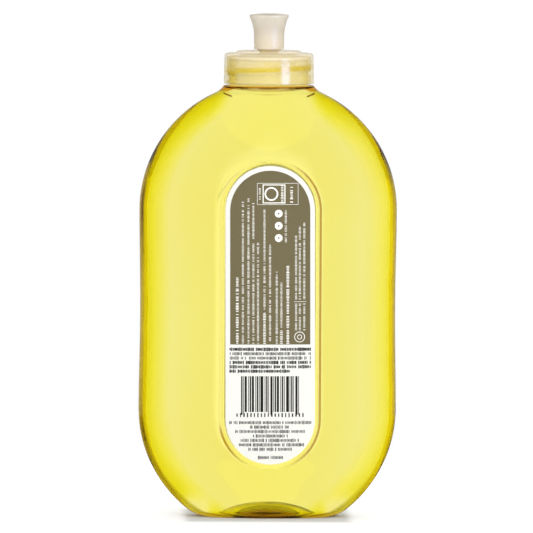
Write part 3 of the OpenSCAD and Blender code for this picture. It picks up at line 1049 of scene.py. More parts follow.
    def side_y(self, x: float, z: float, t: float, w: float, d: float, n: float) -> float:
        """Distance of a broad side from the middle plane.

        Args:
            x: place across the side.
            z: height.
            t: depth inside the outer face.
            w: half width of the ring.
            d: half depth of the ring.
            n: exponent of its oval.

        Returns:
            The distance.
        """
        oval = d * max(0.0, 1 - (abs(x) / w) ** n) ** (1 / n)
        if w <= self.panel_w:
            return oval
        bend = self.panel_curve - math.sqrt(self.panel_curve**2 - (x - self.panel_shift) ** 2)
        flat = self.depth / 2 - self.panel_sink - t - bend
        return oval + (flat - oval) * self.sunk(x, z)

    def ring(self, z: float, w: float, d: float, n: float, t: float) -> np.ndarray:
        """One closed ring of points, anticlockwise seen from above.

        Args:
            z: height of the ring.
            w: half width of the ring.
            d: half depth of the ring.
            n: exponent of its oval.
            t: depth inside the outer face.

        Returns:
            The points.
        """
        xs = self.columns(z, w, n)
        ys = np.array([self.side_y(x, z, t, w, d, n) for x in xs])
        back = np.stack([xs[::-1], ys[::-1], np.full(len(xs), z)], 1)
        front = np.stack([xs[1:-1], -ys[1:-1], np.full(len(xs) - 2, z)], 1)
        return np.concatenate([back, front])

    def body_ring(self, z: float, t: float) -> np.ndarray:
        """A ring of the body, drawn in by the foot's rounded edge.

        Args:
            z: height of the ring.
            t: depth inside the outer face.

        Returns:
            The ring.
        """
        off = (z - t) / self.foot_edge
        inset = self.foot_edge * (1 - off) ** 2 if off < 1 else 0.0
        return self.ring(z, self.half_w(z, t) - inset, self.half_d(z, t) - inset, self.exponent(z), t)

    def round_ring(self, z: float, r: float) -> np.ndarray:
        """A round ring of radius r."""
        return self.ring(z, r, r, 2, 0)

    def base_ring(self, share: float, z: float, t: float) -> np.ndarray:
        """The foot's ring drawn in to a share of its size.

        Args:
            share: the share.
            z: height that the ring is set to.
            t: depth inside the outer face.

        Returns:
            The ring.
        """
        w, d = self.half_w(t, t) - self.foot_edge, self.half_d(t, t) - self.foot_edge
        ring = self.ring(t, w, d, self.squareness, t)
        ring[:, :2] *= share
        ring[:, 2] = z
        return ring

    def base_rings(self, t: float) -> list[np.ndarray]:
        """Rings of the pushed-up base from near its middle out to the foot's edge.

        Args:
            t: depth inside the outer face.

        Returns:
            The rings.
        """
        edge = 1 - self.stand_band / (self.foot_d / 2 - self.foot_edge)
        shares = between(0, 1, self.base_steps)
        rings = [self.base_ring(s * edge, t + self.dome_h * (1 - s**self.dome_power), t) for s in shares]
        return rings + [self.base_ring(edge + (1 - edge) * 0.5, t, t)]

    def levels(self) -> list[float]:
        """Heights of the rings up the body, dense at the foot and around the panels' round ends.

        Returns:
            The heights.
        """
        r, steps = self.panel_r, self.end_steps
        turns = [math.radians(90 * (1 - (k / steps) ** self.end_density)) for k in range(steps + 1)]
        low_end = [self.panel_low + r - r * math.sin(a) for a in turns]
        high_end = [self.panel_top - r + r * math.sin(a) for a in reversed(turns)]
        slope = between(0, self.panel_slope, self.slope_cols)
        low_slope = [self.panel_low - off for off in reversed(slope)]
        high_slope = [self.panel_top + off for off in slope]
        foot = [self.foot_edge * share**2 for share in between(0, 1, self.foot_steps)]
        heel = between(self.foot_edge, low_slope[0] - self.heel_gap, self.heel_steps)
        side = between(self.panel_low + r, self.panel_top - r, self.side_steps)[:-1]
        return foot + heel + low_slope + low_end + side + high_end + high_slope

    def shoulder_levels(self, r: float, r_end: float, count: int) -> list[float]:
        """Heights of the rings over the shoulder's round, even in angle.

        Args:
            r: radius of the round.
            r_end: half width where it ends.
            count: number of rings.

        Returns:
            The heights.
        """
        start = math.asin((self.panel_top + self.panel_slope - self.high_z) / r)
        end = math.acos(r_end / r)
        return [self.high_z + r * math.sin(turn) for turn in between(start, end, count)]


@dataclass(frozen=True)
class NeckForm:
    """The neck with its right-handed thread, and the fill of the liquid.

    Its edge rounds the lip and the foot of the neck outside, and root_r the foot of the bore inside.
    """

    neck_r: float = 17.6
    neck_wall: float = 2.0
    neck_h: float = 11.7
    thread_h: float = 1.07
    pitch: float = 4.23
    root_w: float = 2.1
    crest_w: float = 0.9
    thread_z: float = 6.55
    starts: Flat = (-280.0, 100.0)
    lead: float = 30.0
    fill_h: float = 5.6
    meniscus_h: float = 0.9
    meniscus_reach: float = 1.3
    edge: float = 0.5
    root_r: float = 0.8

    def thread(self, angle: float, dz: float, sense: float = 1.0) -> float:
        """Height of the thread over the wall.

        Args:
            angle: angle around the neck in degrees, from +X.
            dz: height over the thread's own height at the label side.
            sense: 1 for the neck's outer thread, -1 for the closure's, which stands inwards.

        Returns:
            The signed stand-off.
        """
        rise = 0.0
        for turn in (angle - 720, angle - 360, angle, angle + 360):
            if not self.starts[0] <= turn <= self.starts[1]:
                continue
            share = min(1.0, (turn - self.starts[0]) / self.lead, (self.starts[1] - turn) / self.lead)
            off = abs(dz - self.pitch * (turn + 90) / 360)
            slope = (self.root_w / 2 - off) / ((self.root_w - self.crest_w) / 2)
            rise = max(rise, share * smoothstep(slope))
        return sense * self.thread_h * rise


@dataclass
class Bottle:
    """The blown shell with its neck, and the liquid in it.

    The outer steps count the rings over the shoulder, the cone, the ledge's edge and the thread. The
    inner steps count those over the shoulder, the cone and the bore.
    """

    form: BodyForm = field(default_factory=BodyForm)
    neck: NeckForm = field(default_factory=NeckForm)
    pet: BlownPet = field(default_factory=BlownPet)
    cleaner: CleanerLiquid = field(default_factory=CleanerLiquid)
    cone_hollow: float = 0.25
    outer_steps: tuple[int, int, int, int] = (34, 6, 6, 44)
    inner_steps: tuple[int, int, int] = (30, 9, 12)
    surface_steps: int = 14
    level_gap: float = 0.1
    wet_over: float = 0.3

    @cached_property
    def lip_z(self) -> float:
        """Height of the neck's lip."""
        return self.form.ledge_z + self.neck.neck_h

    @cached_property
    def fill_z(self) -> float:
        """Height of the liquid's surface."""
        return self.form.ledge_z + self.neck.fill_h

    def shoulder_rings(self, t: float, count: int) -> list[np.ndarray]:
        """Rings over the shoulder from the panels up to the cone.

        Args:
            t: depth inside the outer face.
            count: number of rings.

        Returns:
            The rings.
        """
        form = self.form
        levels = form.shoulder_levels(form.end_r - t, form.cone_half_w - t, count)
        return [form.body_ring(z, t) for z in levels]

    def threaded_ring(self, z: float) -> np.ndarray:
        """The neck's outer ring, with the thread standing out of it.

        Args:
            z: height of the ring.

        Returns:
            The ring.
        """
        ring = self.form.round_ring(z, self.neck.neck_r)
        for point in ring:
            angle = math.degrees(math.atan2(point[1], point[0]))
            rise = self.neck.thread(angle, z - self.form.ledge_z - self.neck.thread_z)
            point[:2] *= 1 + rise / self.neck.neck_r
        return ring

    def arc(
        self, r: float, z: float, edge: float, turns: Sequence[float], ways: tuple[int, int]
    ) -> list[np.ndarray]:
        """Round rings over a rounded edge.

        Args:
            r: radius where the edge meets an upright wall.
            z: height where it meets a level one.
            edge: radius of the edge itself.
            turns: degrees from the upright wall to each ring.
            ways: 1 or -1 for the side that the edge lies on, outwards and upwards.

        Returns:
            The rings.
        """
        out, up = (way * edge for way in ways)
        angles = [math.radians(turn) for turn in turns]
        return [self.form.round_ring(z + up * (1 - math.sin(a)), r + out * (1 - math.cos(a))) for a in angles]

    def outer_rings(self) -> list[np.ndarray]:
        """Rings of the shell's outside, from the middle of the base up to the lip.

        Returns:
            The rings.
        """
        form, neck = self.form, self.neck
        shoulder, cone, ledge, thread = self.outer_steps
        rings = form.base_rings(0) + [form.body_ring(0, 0)]
        rings += [form.body_ring(z, 0) for z in form.levels()] + self.shoulder_rings(0, shoulder)
        crown, rim_r = rings[-1], form.ledge_r + form.ledge_edge
        edge = form.round_ring(form.ledge_z - form.ledge_edge, rim_r)
        for s in between(0, 1, cone)[:-1]:
            # The cone springs from the shoulder in a small hollow curve
            ring = crown + (edge - crown) * s
            ring[:, 2] -= self.cone_hollow * math.sin(math.pi * s)
            rings.append(ring)
        turns = [max(0.0, turn) for turn in between(-1, 90, ledge)]
        rings += self.arc(rim_r, form.ledge_z, form.ledge_edge, turns, (-1, -1))
        rings += self.arc(neck.neck_r, form.ledge_z, neck.edge, (90, 60, 30, 0), (1, 1))
        levels = between(form.ledge_z + neck.edge, self.lip_z - neck.edge, thread)
        return rings + [self.threaded_ring(z) for z in levels]

    def inner_rings(self, t: float, top: float) -> list[np.ndarray]:
        """Rings of the inside, t behind the outer face, from the base's middle up into the neck.

        Args:
            t: depth behind the outer face.
            top: height of the last ring.

        Returns:
            The rings.
        """
        form, neck = self.form, self.neck
        shoulder, cone, bore_steps = self.inner_steps
        rings = form.base_rings(t) + [form.body_ring(t, t)]
        levels = form.levels()
        foot = [t + z for z in levels[: form.foot_steps]]
        levels = foot + [z for z in levels[form.foot_steps :] if z > foot[-1] + self.level_gap]
        rings += [form.body_ring(z, t) for z in levels] + self.shoulder_rings(t, shoulder)
        bore = neck.neck_r - neck.neck_wall + form.wall - t
        for r in between(form.cone_half_d - t, bore + neck.root_r, cone):
            rings.append(form.round_ring(form.high_z + math.sqrt((form.end_r - t) ** 2 - r * r), r))
        root = rings[-1][0][2]
        rings += self.arc(bore, root, neck.root_r, (60, 30, 0), (1, 1))
        return rings + [form.round_ring(z, bore) for z in between(root + neck.root_r, top, bore_steps)]

    def skin(self, name: str, rings: list[np.ndarray], low: float, high: float) -> bpy.types.Object:
        """Closes rings into one skin.

        Args:
            name: name of the object.
            rings: the rings.
            low: height of the point that closes the first ring.
            high: height of the point that closes the last one.

        Returns:
            The object.
        """
        poles = np.array([[0, 0, low], [0, 0, high]])
        faces = skin_faces(len(rings), len(rings[0]), True)
        return mesh_object(name, np.concatenate(rings + [poles]), faces)

    def shell(self) -> bpy.types.Object:
        """Builds the blown shell as one closed skin.

        Returns:
            The shell.
        """
        form, neck = self.form, self.neck
        outside, inside = self.outer_rings(), self.inner_rings(form.wall, self.lip_z - neck.edge)
        lip = self.arc(neck.neck_r, self.lip_z, neck.edge, (30, 60, 90), (-1, -1))
        lip += self.arc(neck.neck_r - neck.neck_wall, self.lip_z, neck.edge, (90, 60, 30), (1, -1))
        made = self.skin("blown_shell", outside + lip + inside[::-1], form.dome_h, form.dome_h + form.wall)
        wear(made, self.pet.dry(form), self.pet.wet(self.cleaner.ior))
        first_inner = (len(outside) + len(lip)) * len(outside[0])
        wetted = (self.fill_z + self.wet_over) * MM
        points = made.data.vertices
        for face in made.data.polygons:
            if min(face.vertices) >= first_inner and max(points[k].co.z for k in face.vertices) < wetted:
                face.material_index = 1
        return made

    def liquid(self) -> bpy.types.Object:
        """Builds the liquid. Its side lies inside the wall, so that no film of air parts the two.

        Returns:
            The liquid.
        """
        form, neck = self.form, self.neck
        t = form.wall / 2
        rings = self.inner_rings(t, self.fill_z + neck.meniscus_h)
        bore = np.abs(rings[-1][:, 0]).max()
        for s in between(1, 0, self.surface_steps)[:-1]:
            rise = neck.meniscus_h * math.exp(-(1 - s) * bore / neck.meniscus_reach)
            rings.append(form.round_ring(self.fill_z + rise, bore * s))
        made = self.skin("cleaner_liquid", rings, form.dome_h + t, self.fill_z)
        return wear(made, self.cleaner.material(self.fill_z, form))

    def build(self) -> None:
        """Builds and dresses the shell and the liquid."""
        report(self.shell(), "bottle", ["bottle"])
        report(self.liquid(), "bottle", ["liquid"])


# The labels


@dataclass(frozen=True)
class Lettering:
    """Plain blocks that stand in for lines of small print."""

    pitch: float
    width: float
    height: float
    gap_share: float = 0.17
    seed: int = 3


@dataclass(frozen=True)
class FieldPlan:
    """Where the white print stands on the field, across the label and over the field's foot."""

    foot: float = 0.6
    bold_columns: tuple[Point, ...] = ((-14.8, 0, 29.3), (-2.6, 0, 13.5), (5.0, 0, 5.5), (7.9, 0, 36.0))
    fine_columns: tuple[Point, ...] = (
        (-12.3, 0, 63.4), (-9.8, 0, 64.9), (-7.6, 0, 63.4), (-5.5, 0, 45.0), (-2.6, 14.6, 45.3),
        (-0.1, 0, 44.1), (2.9, 0, 32.0), (5.0, 6.6, 20.5), (7.0, 45.5, 14.0), (11.6, 6.0, 11.6),
        (13.3, 6.0, 11.6), (15.3, 6.0, 11.6), (11.6, 19.9, 28.2), (13.3, 19.9, 32.3), (15.3, 19.9, 34.1),
    )
    bold: Lettering = Lettering(0.7, 0.38, 1.4, 0.12, 5)
    fine: Lettering = Lettering(0.6, 0.25, 1.1, 0.13, 8)
    box_x: Flat = (-5.9, 12.6)
    box_drop: float = 5.6
    box_h: float = 9.7
    box_line: float = 0.16
    box_columns: tuple[float, ...] = (5.4, 9.6)
    box_text_inset: float = 1.2
    square_x: Flat = (-3.4, 6.8)
    square_gap: float = 0.6
    square_line: float = 0.42
    sign_x: float = 0.5
    sign_r: float = 3.1
    sign_line: float = 0.7
    dots_count: int = 3
    dots_x: float = 3.8
    dots_drop: float = 19.3
    dots_pitch: float = 5.5
    dot_r: float = 1.75
    dot_eye: float = 0.4
    ring_x: float = 13.2
    ring_z: float = 2.8
    ring_r: Flat = (2.4, 1.1)
    ring_line: float = 0.28
    rule: Point = (10.7, 16.2, 18.6)


@dataclass(frozen=True)
class WhitePlan:
    """Where the dark print stands on the white part, under the field and over the label's foot."""

    drop: float = 2.15
    pitch: float = 1.97
    full_rows: int = 5
    bold_rows: tuple[int, ...] = (0, 3, 4)
    last_end: float = 8.4
    bold: Lettering = Lettering(0.72, 0.6, 1.62, 0.08, 21)
    fine: Lettering = Lettering(0.62, 0.4, 1.6, 0.1, 34)
    bars_x: Flat = (-13.1, 12.9)
    bars_drop: float = 12.1
    bars_h: float = 16.1
    bars_count: int = 26
    bar_widths: tuple[int, ...] = (2, 1, 3, 1, 2, 3, 1, 2, 1, 4, 1)
    bar_gaps: tuple[int, ...] = (1, 1, 2, 1, 1, 2, 1)
    guard: float = 1.3
    digits: Lettering = Lettering(1.5, 0.62, 2.0, 0.06, 3)
    digits_out: float = 1.8
    digits_drop: float = 1.4
    foot_rows_z: float = 18.75
    foot_pitch: float = 2.0
    foot_rows: tuple[Flat, ...] = (
        (-18.1, 18.2), (-8.9, 8.0), (-15.5, 15.4), (-7.5, 7.6), (-13.1, 12.6), (-14.5, 14.9), (-9.7, 9.4),
    )
    foot_code: Point = (-5.3, 5.4, 15.7)


@dataclass(frozen=True)
class FrontPlan:
    """Generic print for the other label, measured down from its field's top."""

    bars: tuple[Point, ...] = ((12.5, 24.0, 22.6), (8.5, 27.6, 26.4))
    rings: tuple[Flat, ...] = ((9.5, 1.1), (6.0, 0.5))
    rings_drop: float = 45.0
    rows_count: int = 4
    rows_half: float = 11.0
    rows_step: float = 2.5
    rows_drop: float = 62.0
    rows_pitch: float = 2.4
    style: Lettering = Lettering(0.92, 0.6, 1.15, 0.15, 55)


@dataclass
class PrintPress:
    """A Geometry Nodes tree that lays small blocks of ink along straight lines."""

    thickness: float = 0.03
    scales: tuple[Point, Point] = ((0.7, 1.0, 0.62), (1.2, 1.0, 1.0))

    def tree(self) -> bpy.types.NodeTree:
        """Builds the tree that turns edges into rows of blocks.

        Returns:
            The tree.
        """
        tree = bpy.data.node_groups.new("rows_of_print", "GeometryNodeTree")
        numbers = [(name, "Float") for name in ("Pitch", "Width", "Height", "Thickness", "Gap Share")]
        for name, kind in (("Lines", "Geometry"), *numbers, ("Seed", "Int"), ("Ink", "Material")):
            tree.interface.new_socket(name, in_out="INPUT", socket_type=f"NodeSocket{kind}")
        tree.interface.new_socket("Print", in_out="OUTPUT", socket_type="NodeSocketGeometry")
        g = Graph(tree)
        given = g.add("NodeGroupInput")
        curves = g.add("GeometryNodeMeshToCurve", {"Mesh": given["Lines"]})["Curve"]
        along = {"Curve": curves, "Length": given["Pitch"]}
        spots = g.add("GeometryNodeCurveToPoints", along, mode="LENGTH")
        chance = {"Probability": given["Gap Share"], "Seed": given["Seed"]}
        gaps = g.add("FunctionNodeRandomValue", chance, data_type="BOOLEAN")[3]
        left_out = {"Geometry": spots["Points"], "Selection": gaps}
        stays = g.add("GeometryNodeDeleteGeometry", left_out, domain="POINT")["Geometry"]
        sides = {"X": given["Width"], "Y": given["Thickness"], "Z": given["Height"]}
        size = g.add("ShaderNodeCombineXYZ", sides)["Vector"]
        block = g.add("GeometryNodeMeshCube", {"Size": size})["Mesh"]
        ends = {0: self.scales[0], 1: self.scales[1], "Seed": given["Seed"]}
        scale = g.add("FunctionNodeRandomValue", ends, data_type="FLOAT_VECTOR")[0]
        along = {"Vector": spots["Tangent"]}
        turned = g.add("FunctionNodeAlignRotationToVector", along, axis="X", pivot_axis="Y")["Rotation"]
        blocks = {"Points": stays, "Instance": block, "Rotation": turned, "Scale": scale}
        stands = g.add("GeometryNodeInstanceOnPoints", blocks)["Instances"]
        real = g.add("GeometryNodeRealizeInstances", {"Geometry": stands})["Geometry"]
        inked = g.add("GeometryNodeSetMaterial", {"Geometry": real, "Material": given["Ink"]})["Geometry"]
        g.add("NodeGroupOutput", {"Print": inked})
        return tree

    def run(
        self, lines: Sequence[tuple[Flat, Flat]], depth: float, style: Lettering, ink: bpy.types.Material
    ) -> bpy.types.Mesh:
        """Prints lines on a flat sheet.

        Args:
            lines: the two ends of each line of print, in millimetres across and up the label.
            depth: how far the ink's middle lies off the panel, in millimetres.
            style: size and spacing of the blocks.
            ink: material of the ink.

        Returns:
            A mesh in metres, with the label in its XZ plane.
        """
        mesh = bpy.data.meshes.new("lines")
        points = [(x * MM, -depth * MM, z * MM) for line in lines for x, z in line]
        mesh.from_pydata(points, [(k, k + 1) for k in range(0, len(points), 2)], [])
        made = placed("lines", mesh)
        tree = self.tree()
        modifier = made.modifiers.new("rows_of_print", "NODES")
        modifier.node_group = tree
        sizes = {"Pitch": style.pitch, "Width": style.width, "Height": style.height}
        values = {name: size * MM for name, size in {**sizes, "Thickness": self.thickness}.items()}
        values |= {"Gap Share": style.gap_share, "Seed": style.seed, "Ink": ink}
        for socket in tree.interface.items_tree:
            if socket.in_out == "INPUT" and socket.name in values:
                modifier[socket.identifier] = values[socket.name]
        made.update_tag()
        graph = bpy.context.evaluated_depsgraph_get()
        printed = bpy.data.meshes.new_from_object(made.evaluated_get(graph))
        made.modifiers.remove(modifier)
        bpy.data.objects.remove(made)
        return printed


@dataclass(frozen=True)
class Sheet:
    """A thin sheet with a straight or round upper and lower end, given across and up the label."""

    half_w: float
    low: float
    high: float
    round_low: bool
    inner: float
    outer: float
    cols: int = 24
    end_steps: int = 22
    side_steps: int = 12
    tip: float = 0.05

    def half_at(self, z: float) -> float:
        """Half width of the outline at a height.

        Args:
            z: the height.

        Returns:
            The half width.
        """
        r = self.half_w
        over = max(0.0, z - self.high + r, (self.low + r - z) if self.round_low else 0.0)
        return math.sqrt(max(0.0, r * r - over * over))

    def levels(self) -> list[float]:
        """Heights of the rows, dense over the round ends.

        Returns:
            The heights.
        """
        r = self.half_w
        turns = [math.pi / 2 * k / self.end_steps for k in range(self.end_steps + 1)]
        up = [self.high - r + r * math.sin(a) for a in turns]
        down = [self.low + r - r * math.sin(a) for a in reversed(turns)] if self.round_low else [self.low]
        return down + between(down[-1], up[0], self.side_steps)[:-1] + up


@dataclass
class Labels:
    """Both labels with their printed layers, wrapped on the sunk panels."""

    form: BodyForm = field(default_factory=BodyForm)
    margin: float = 1.05
    film_t: float = 0.12
    ink_t: float = 0.03
    gap: float = 0.05
    sunk: float = 0.03
    tilt: float = 0.3
    border: float = 2.1
    field_low: float = 53.9
    cut: float = 2.0
    film: LabelFilm = field(default_factory=LabelFilm)
    front_film: LabelFilm = LabelFilm("white_polypropylene_film_on_front", translucency=0.9)
    olive: PrintedInk = PrintedInk("olive_flexo_ink", "685F42", "635A3D")
    white: PrintedInk = PrintedInk("white_flexo_ink", "F1F0EC", "E9E8E2")
    dark: PrintedInk = PrintedInk("dark_grey_flexo_ink", "151413", "1F1E1B")
    press: PrintPress = field(default_factory=PrintPress)
    ring_pieces: int = 24
    field_plan: FieldPlan = field(default_factory=FieldPlan)
    white_plan: WhitePlan = field(default_factory=WhitePlan)
    front_plan: FrontPlan = field(default_factory=FrontPlan)

    @cached_property
    def half_w(self) -> float:
        """Half width of the labels."""
        return self.form.panel_r - self.margin

    @cached_property
    def low(self) -> float:
        """Height of the labels' lower end."""
        return self.form.panel_low + self.margin

    @cached_property
    def high(self) -> float:
        """Height of the labels' upper end."""
        return self.form.panel_top - self.margin

    @cached_property
    def field_r(self) -> float:
        """Half width of the printed field."""
        return self.half_w - self.border

    @cached_property
    def field_bottom(self) -> float:
        """Height of the printed field's lower edge."""
        return self.low + self.field_low

    @cached_property
    def field_top(self) -> float:
        """Height of the printed field's upper end."""
        return self.high - self.border

    @cached_property
    def ink_depth(self) -> float:
        """How far the face of the film lies off the panel."""
        return self.gap + self.film_t

    def lift(self, layers: int) -> float:
        """How far print lies off the panel when it stands on a number of layers of ink."""
        return self.ink_depth + self.ink_t * layers + self.ink_t / 4

    def wrap(self, mesh: bpy.types.Mesh, side: Side) -> None:
        """Bends a flat mesh onto the curve of a panel, turned as its label was applied.

        Args:
            mesh: mesh in metres, across the label in X, out of it in -Y and up in Z.
            side: broad side that takes it.
        """
        form = self.form
        angle = math.radians(self.tilt) if side is Side.INFORMATION else 0.0
        middle = (self.low + self.high) / 2
        co = np.empty(len(mesh.vertices) * 3)
        mesh.vertices.foreach_get("co", co)
        flat = co.reshape(-1, 3) / MM
        x, up, r = flat[:, 0], flat[:, 2] - middle, form.panel_curve - flat[:, 1]
        across = x * math.cos(angle) - up * math.sin(angle)
        rise = middle + x * math.sin(angle) + up * math.cos(angle)
        centre = form.panel_curve + form.panel_sink - form.depth / 2
        out = np.sqrt(r * r - across * across) - centre
        bent = np.stack([across + form.panel_shift, side.value * out, rise], 1) * MM
        mesh.vertices.foreach_set("co", bent.ravel())
        if side is Side.FRONT:
            mesh.flip_normals()
        mesh.update()

    def sheet(self, name: str, cut: Sheet, side: Side) -> bpy.types.Object:
        """Builds a thin sheet and wraps it on a panel.

        Args:
            name: name of the object.
            cut: outline and depths of the sheet.
            side: broad side that takes it.

        Returns:
            The sheet.
        """
        levels, cols = cut.levels(), cut.cols
        ring: list[list[Point]] = []
        for z in levels:
            half = max(cut.tip, cut.half_at(z))
            row = [half * (2 * k / cols - 1) for k in range(cols + 1)]
            ring.append([(x, -cut.outer, z) for x in row] + [(x, -cut.inner, z) for x in reversed(row)])
        size = 2 * (cols + 1)
        faces = skin_faces(len(ring), size, False)
        for first, flip in ((0, False), ((len(ring) - 1) * size, True)):
            for k in range(cols):
                face = [first + k, first + size - 1 - k, first + size - 2 - k, first + k + 1]
                faces.append(face[::-1] if flip else face)
        made = mesh_object(name, np.array([p for row in ring for p in row]), faces)
        self.wrap(made.data, side)
        return made

    def printed(
        self, name: str, parts: Iterable[bpy.types.Mesh], side: Side, ink: bpy.types.Material
    ) -> bpy.types.Object:
        """Joins printed meshes into one piece and wraps it on a panel.

        Args:
            name: name of the piece.
            parts: meshes from the press or from bars.
            side: broad side that takes it.
            ink: material of the ink.

        Returns:
            The piece.
        """
        work = bmesh.new()
        for part in parts:
            work.from_mesh(part)
            bpy.data.meshes.remove(part)
        # Long bars are cut every few millimetres, so that they follow the curve of the panel
        reach = int(self.half_w / self.cut)
        for k in range(-reach, reach + 1):
            every = work.verts[:] + work.edges[:] + work.faces[:]
            at = (k * self.cut * MM, 0, 0)
            bmesh.ops.bisect_plane(work, geom=every, dist=1e-8, plane_co=at, plane_no=(1, 0, 0))
        bmesh.ops.recalc_face_normals(work, faces=work.faces)
        mesh = bpy.data.meshes.new(name)
        work.to_mesh(mesh)
        work.free()
        self.wrap(mesh, side)
        made = placed(name, mesh)
        wear(made, ink)
        for face in mesh.polygons:
            face.material_index = 0
        return made

    def outline(self, corners: Sequence[Sequence[Flat]]) -> bpy.types.Mesh:
        """Thin plates of ink from flat outlines.

        Args:
            corners: for each plate, its outline across and up the label.

        Returns:
            A mesh in metres, flat in the XZ plane.
        """
        work = bmesh.new()
        near, far = self.ink_depth + self.ink_t, self.ink_depth - self.ink_t / 2
        for shape in corners:
            front = [work.verts.new((x * MM, -near * MM, z * MM)) for x, z in shape]
            back = [work.verts.new((x * MM, -far * MM, z * MM)) for x, z in shape]
            work.faces.new(front)
            work.faces.new(back[::-1])
            for k in range(len(shape)):
                j = (k + 1) % len(shape)
                work.faces.new((front[j], front[k], back[k], back[j]))
        mesh = bpy.data.meshes.new("plates")
        work.to_mesh(mesh)
        work.free()
        return mesh

    def bar(self, x0: float, x1: float, z0: float, z1: float) -> list[Flat]:
        """Outline of an upright bar."""
        return [(x0, z0), (x1, z0), (x1, z1), (x0, z1)]

    def frame_bars(self, x0: float, x1: float, z0: float, z1: float, line: float) -> list[list[Flat]]:
        """Four bars that frame a box.

        Args:
            x0: left side.
            x1: right side.
            z0: lower side.
            z1: upper side.
            line: width of the bars.

        Returns:
            Their outlines.
        """
        return [
            self.bar(x0, x1, z0, z0 + line),
            self.bar(x0, x1, z1 - line, z1),
            self.bar(x0, x0 + line, z0 + line, z1 - line),
            self.bar(x1 - line, x1, z0 + line, z1 - line),
        ]

    def field_print(self) -> bpy.types.Object:
        """White print on the field: columns of turned text, a framed box, three dots and a ring.

        Returns:
            The print, as one piece.
        """
        ink, plan = self.white.material(), self.field_plan
        foot, top = self.field_bottom + plan.foot, self.field_top
        bold, fine = (
            [((x, foot + z), (x, foot + z + run)) for x, z, run in columns]
            for columns in (plan.bold_columns, plan.fine_columns)
        )
        low, high = top - plan.box_drop - plan.box_h, top - plan.box_drop
        inset, (left, _) = plan.box_text_inset, plan.box_x
        fine.append(((left + inset, low + 2 * inset), (left + inset, high - 2 * inset)))
        bold += [((x, low + inset), (x, high - inset)) for x in plan.box_columns]
        rows = ((bold, plan.bold), (fine, plan.fine))
        parts = [self.press.run(columns, self.lift(1), style, ink) for columns, style in rows]
        plates = self.frame_bars(*plan.box_x, low, high, plan.box_line)
        low_edge, high_edge = low + plan.square_gap, high - plan.square_gap
        plates += self.frame_bars(*plan.square_x, low_edge, high_edge, plan.square_line)
        plates += self.ring_bars(plan.sign_x, (low + high) / 2, plan.sign_r, plan.sign_line)
        for k in range(plan.dots_count):
            height = top - plan.dots_drop - plan.dots_pitch * k
            plates += self.ring_bars(plan.dots_x, height, plan.dot_r, plan.dot_r - plan.dot_eye)
        for r in plan.ring_r:
            plates += self.ring_bars(plan.ring_x, foot + plan.ring_z, r, plan.ring_line)
        x0, x1, z = plan.rule
        plates.append(self.bar(x0, x1, foot + z, foot + z + plan.box_line))
        parts.append(self.lifted(self.outline(plates)))
        return self.printed("field_print_white", parts, Side.INFORMATION, ink)

    def ring_bars(self, x: float, z: float, r: float, line: float) -> list[list[Flat]]:
        """A plain ring, as short straight pieces.

        Args:
            x: place of its middle across the label.
            z: height of its middle.
            r: outer radius.
            line: width of the ring's line.

        Returns:
            The outlines of the pieces.
        """
        out = []
        for k in range(self.ring_pieces):
            a, b = (2 * math.pi * turn / self.ring_pieces for turn in (k, k + 1))
            corners = ((r, a), (r, b), (r - line, b), (r - line, a))
            out.append([(x + reach * math.cos(turn), z + reach * math.sin(turn)) for reach, turn in corners])
        return out

    def lifted(self, mesh: bpy.types.Mesh) -> bpy.types.Mesh:
        """Raises plates of ink by one layer, so that they lie on the field."""
        mesh.transform(Matrix.Translation((0, -self.ink_t * MM, 0)))
        return mesh

    def dark_print(self) -> bpy.types.Object:
        """Dark print on the white part: rows of text and a block of plain bars.

        Returns:
            The print, as one piece.
        """
        ink, plan = self.dark.material(), self.white_plan
        reach, top = self.field_r, self.field_bottom - plan.drop
        rows = [self.row(-reach, reach, top - plan.pitch * k) for k in range(plan.full_rows)]
        bold = [rows[k] for k in plan.bold_rows]
        bold.append(self.row(-reach, plan.last_end, top - plan.pitch * plan.full_rows))
        fine = [row for k, row in enumerate(rows) if k not in plan.bold_rows]
        high, low = top - plan.bars_drop, top - plan.bars_drop - plan.bars_h
        (left, right), out = plan.bars_x, plan.digits_out
        digits = [self.row(left - out, right + out, low - plan.digits_drop)]
        first = self.low + plan.foot_rows_z
        fine += [self.row(x0, x1, first - plan.foot_pitch * k) for k, (x0, x1) in enumerate(plan.foot_rows)]
        x0, x1, drop = plan.foot_code
        fine.append(self.row(x0, x1, first - drop))
        lines = ((bold, plan.bold), (fine, plan.fine), (digits, plan.digits))
        parts = [self.press.run(text, self.lift(0), style, ink) for text, style in lines]
        parts.append(self.outline(self.block_of_bars(low, high)))
        return self.printed("label_print_dark", parts, Side.INFORMATION, ink)

    def row(self, x0: float, x1: float, z: float) -> tuple[Flat, Flat]:
        """A level line of print."""
        return (x0, z), (x1, z)

    def block_of_bars(self, low: float, high: float) -> list[list[Flat]]:
        """Plain upright bars in mixed widths, which stand where goods carry a code.

        Args:
            low: height of the bars' lower ends.
            high: height of their upper ends.

        Returns:
            The outlines of the bars.
        """
        plan = self.white_plan
        widths, gaps = plan.bar_widths, plan.bar_gaps
        count = plan.bars_count
        spans = [(widths[k % len(widths)], gaps[k % len(gaps)]) for k in range(count)]
        total = sum(w + g for w, g in spans) - spans[-1][1]
        module = (plan.bars_x[1] - plan.bars_x[0]) / total
        plates, x = [], plan.bars_x[0]
        for k, (width, gap) in enumerate(spans):
            longer = k < 2 or k >= count - 2 or k in (count // 2 - 1, count // 2)
            plates.append(self.bar(x, x + width * module, low - (plan.guard if longer else 0), high))
            x += (width + gap) * module
        return plates

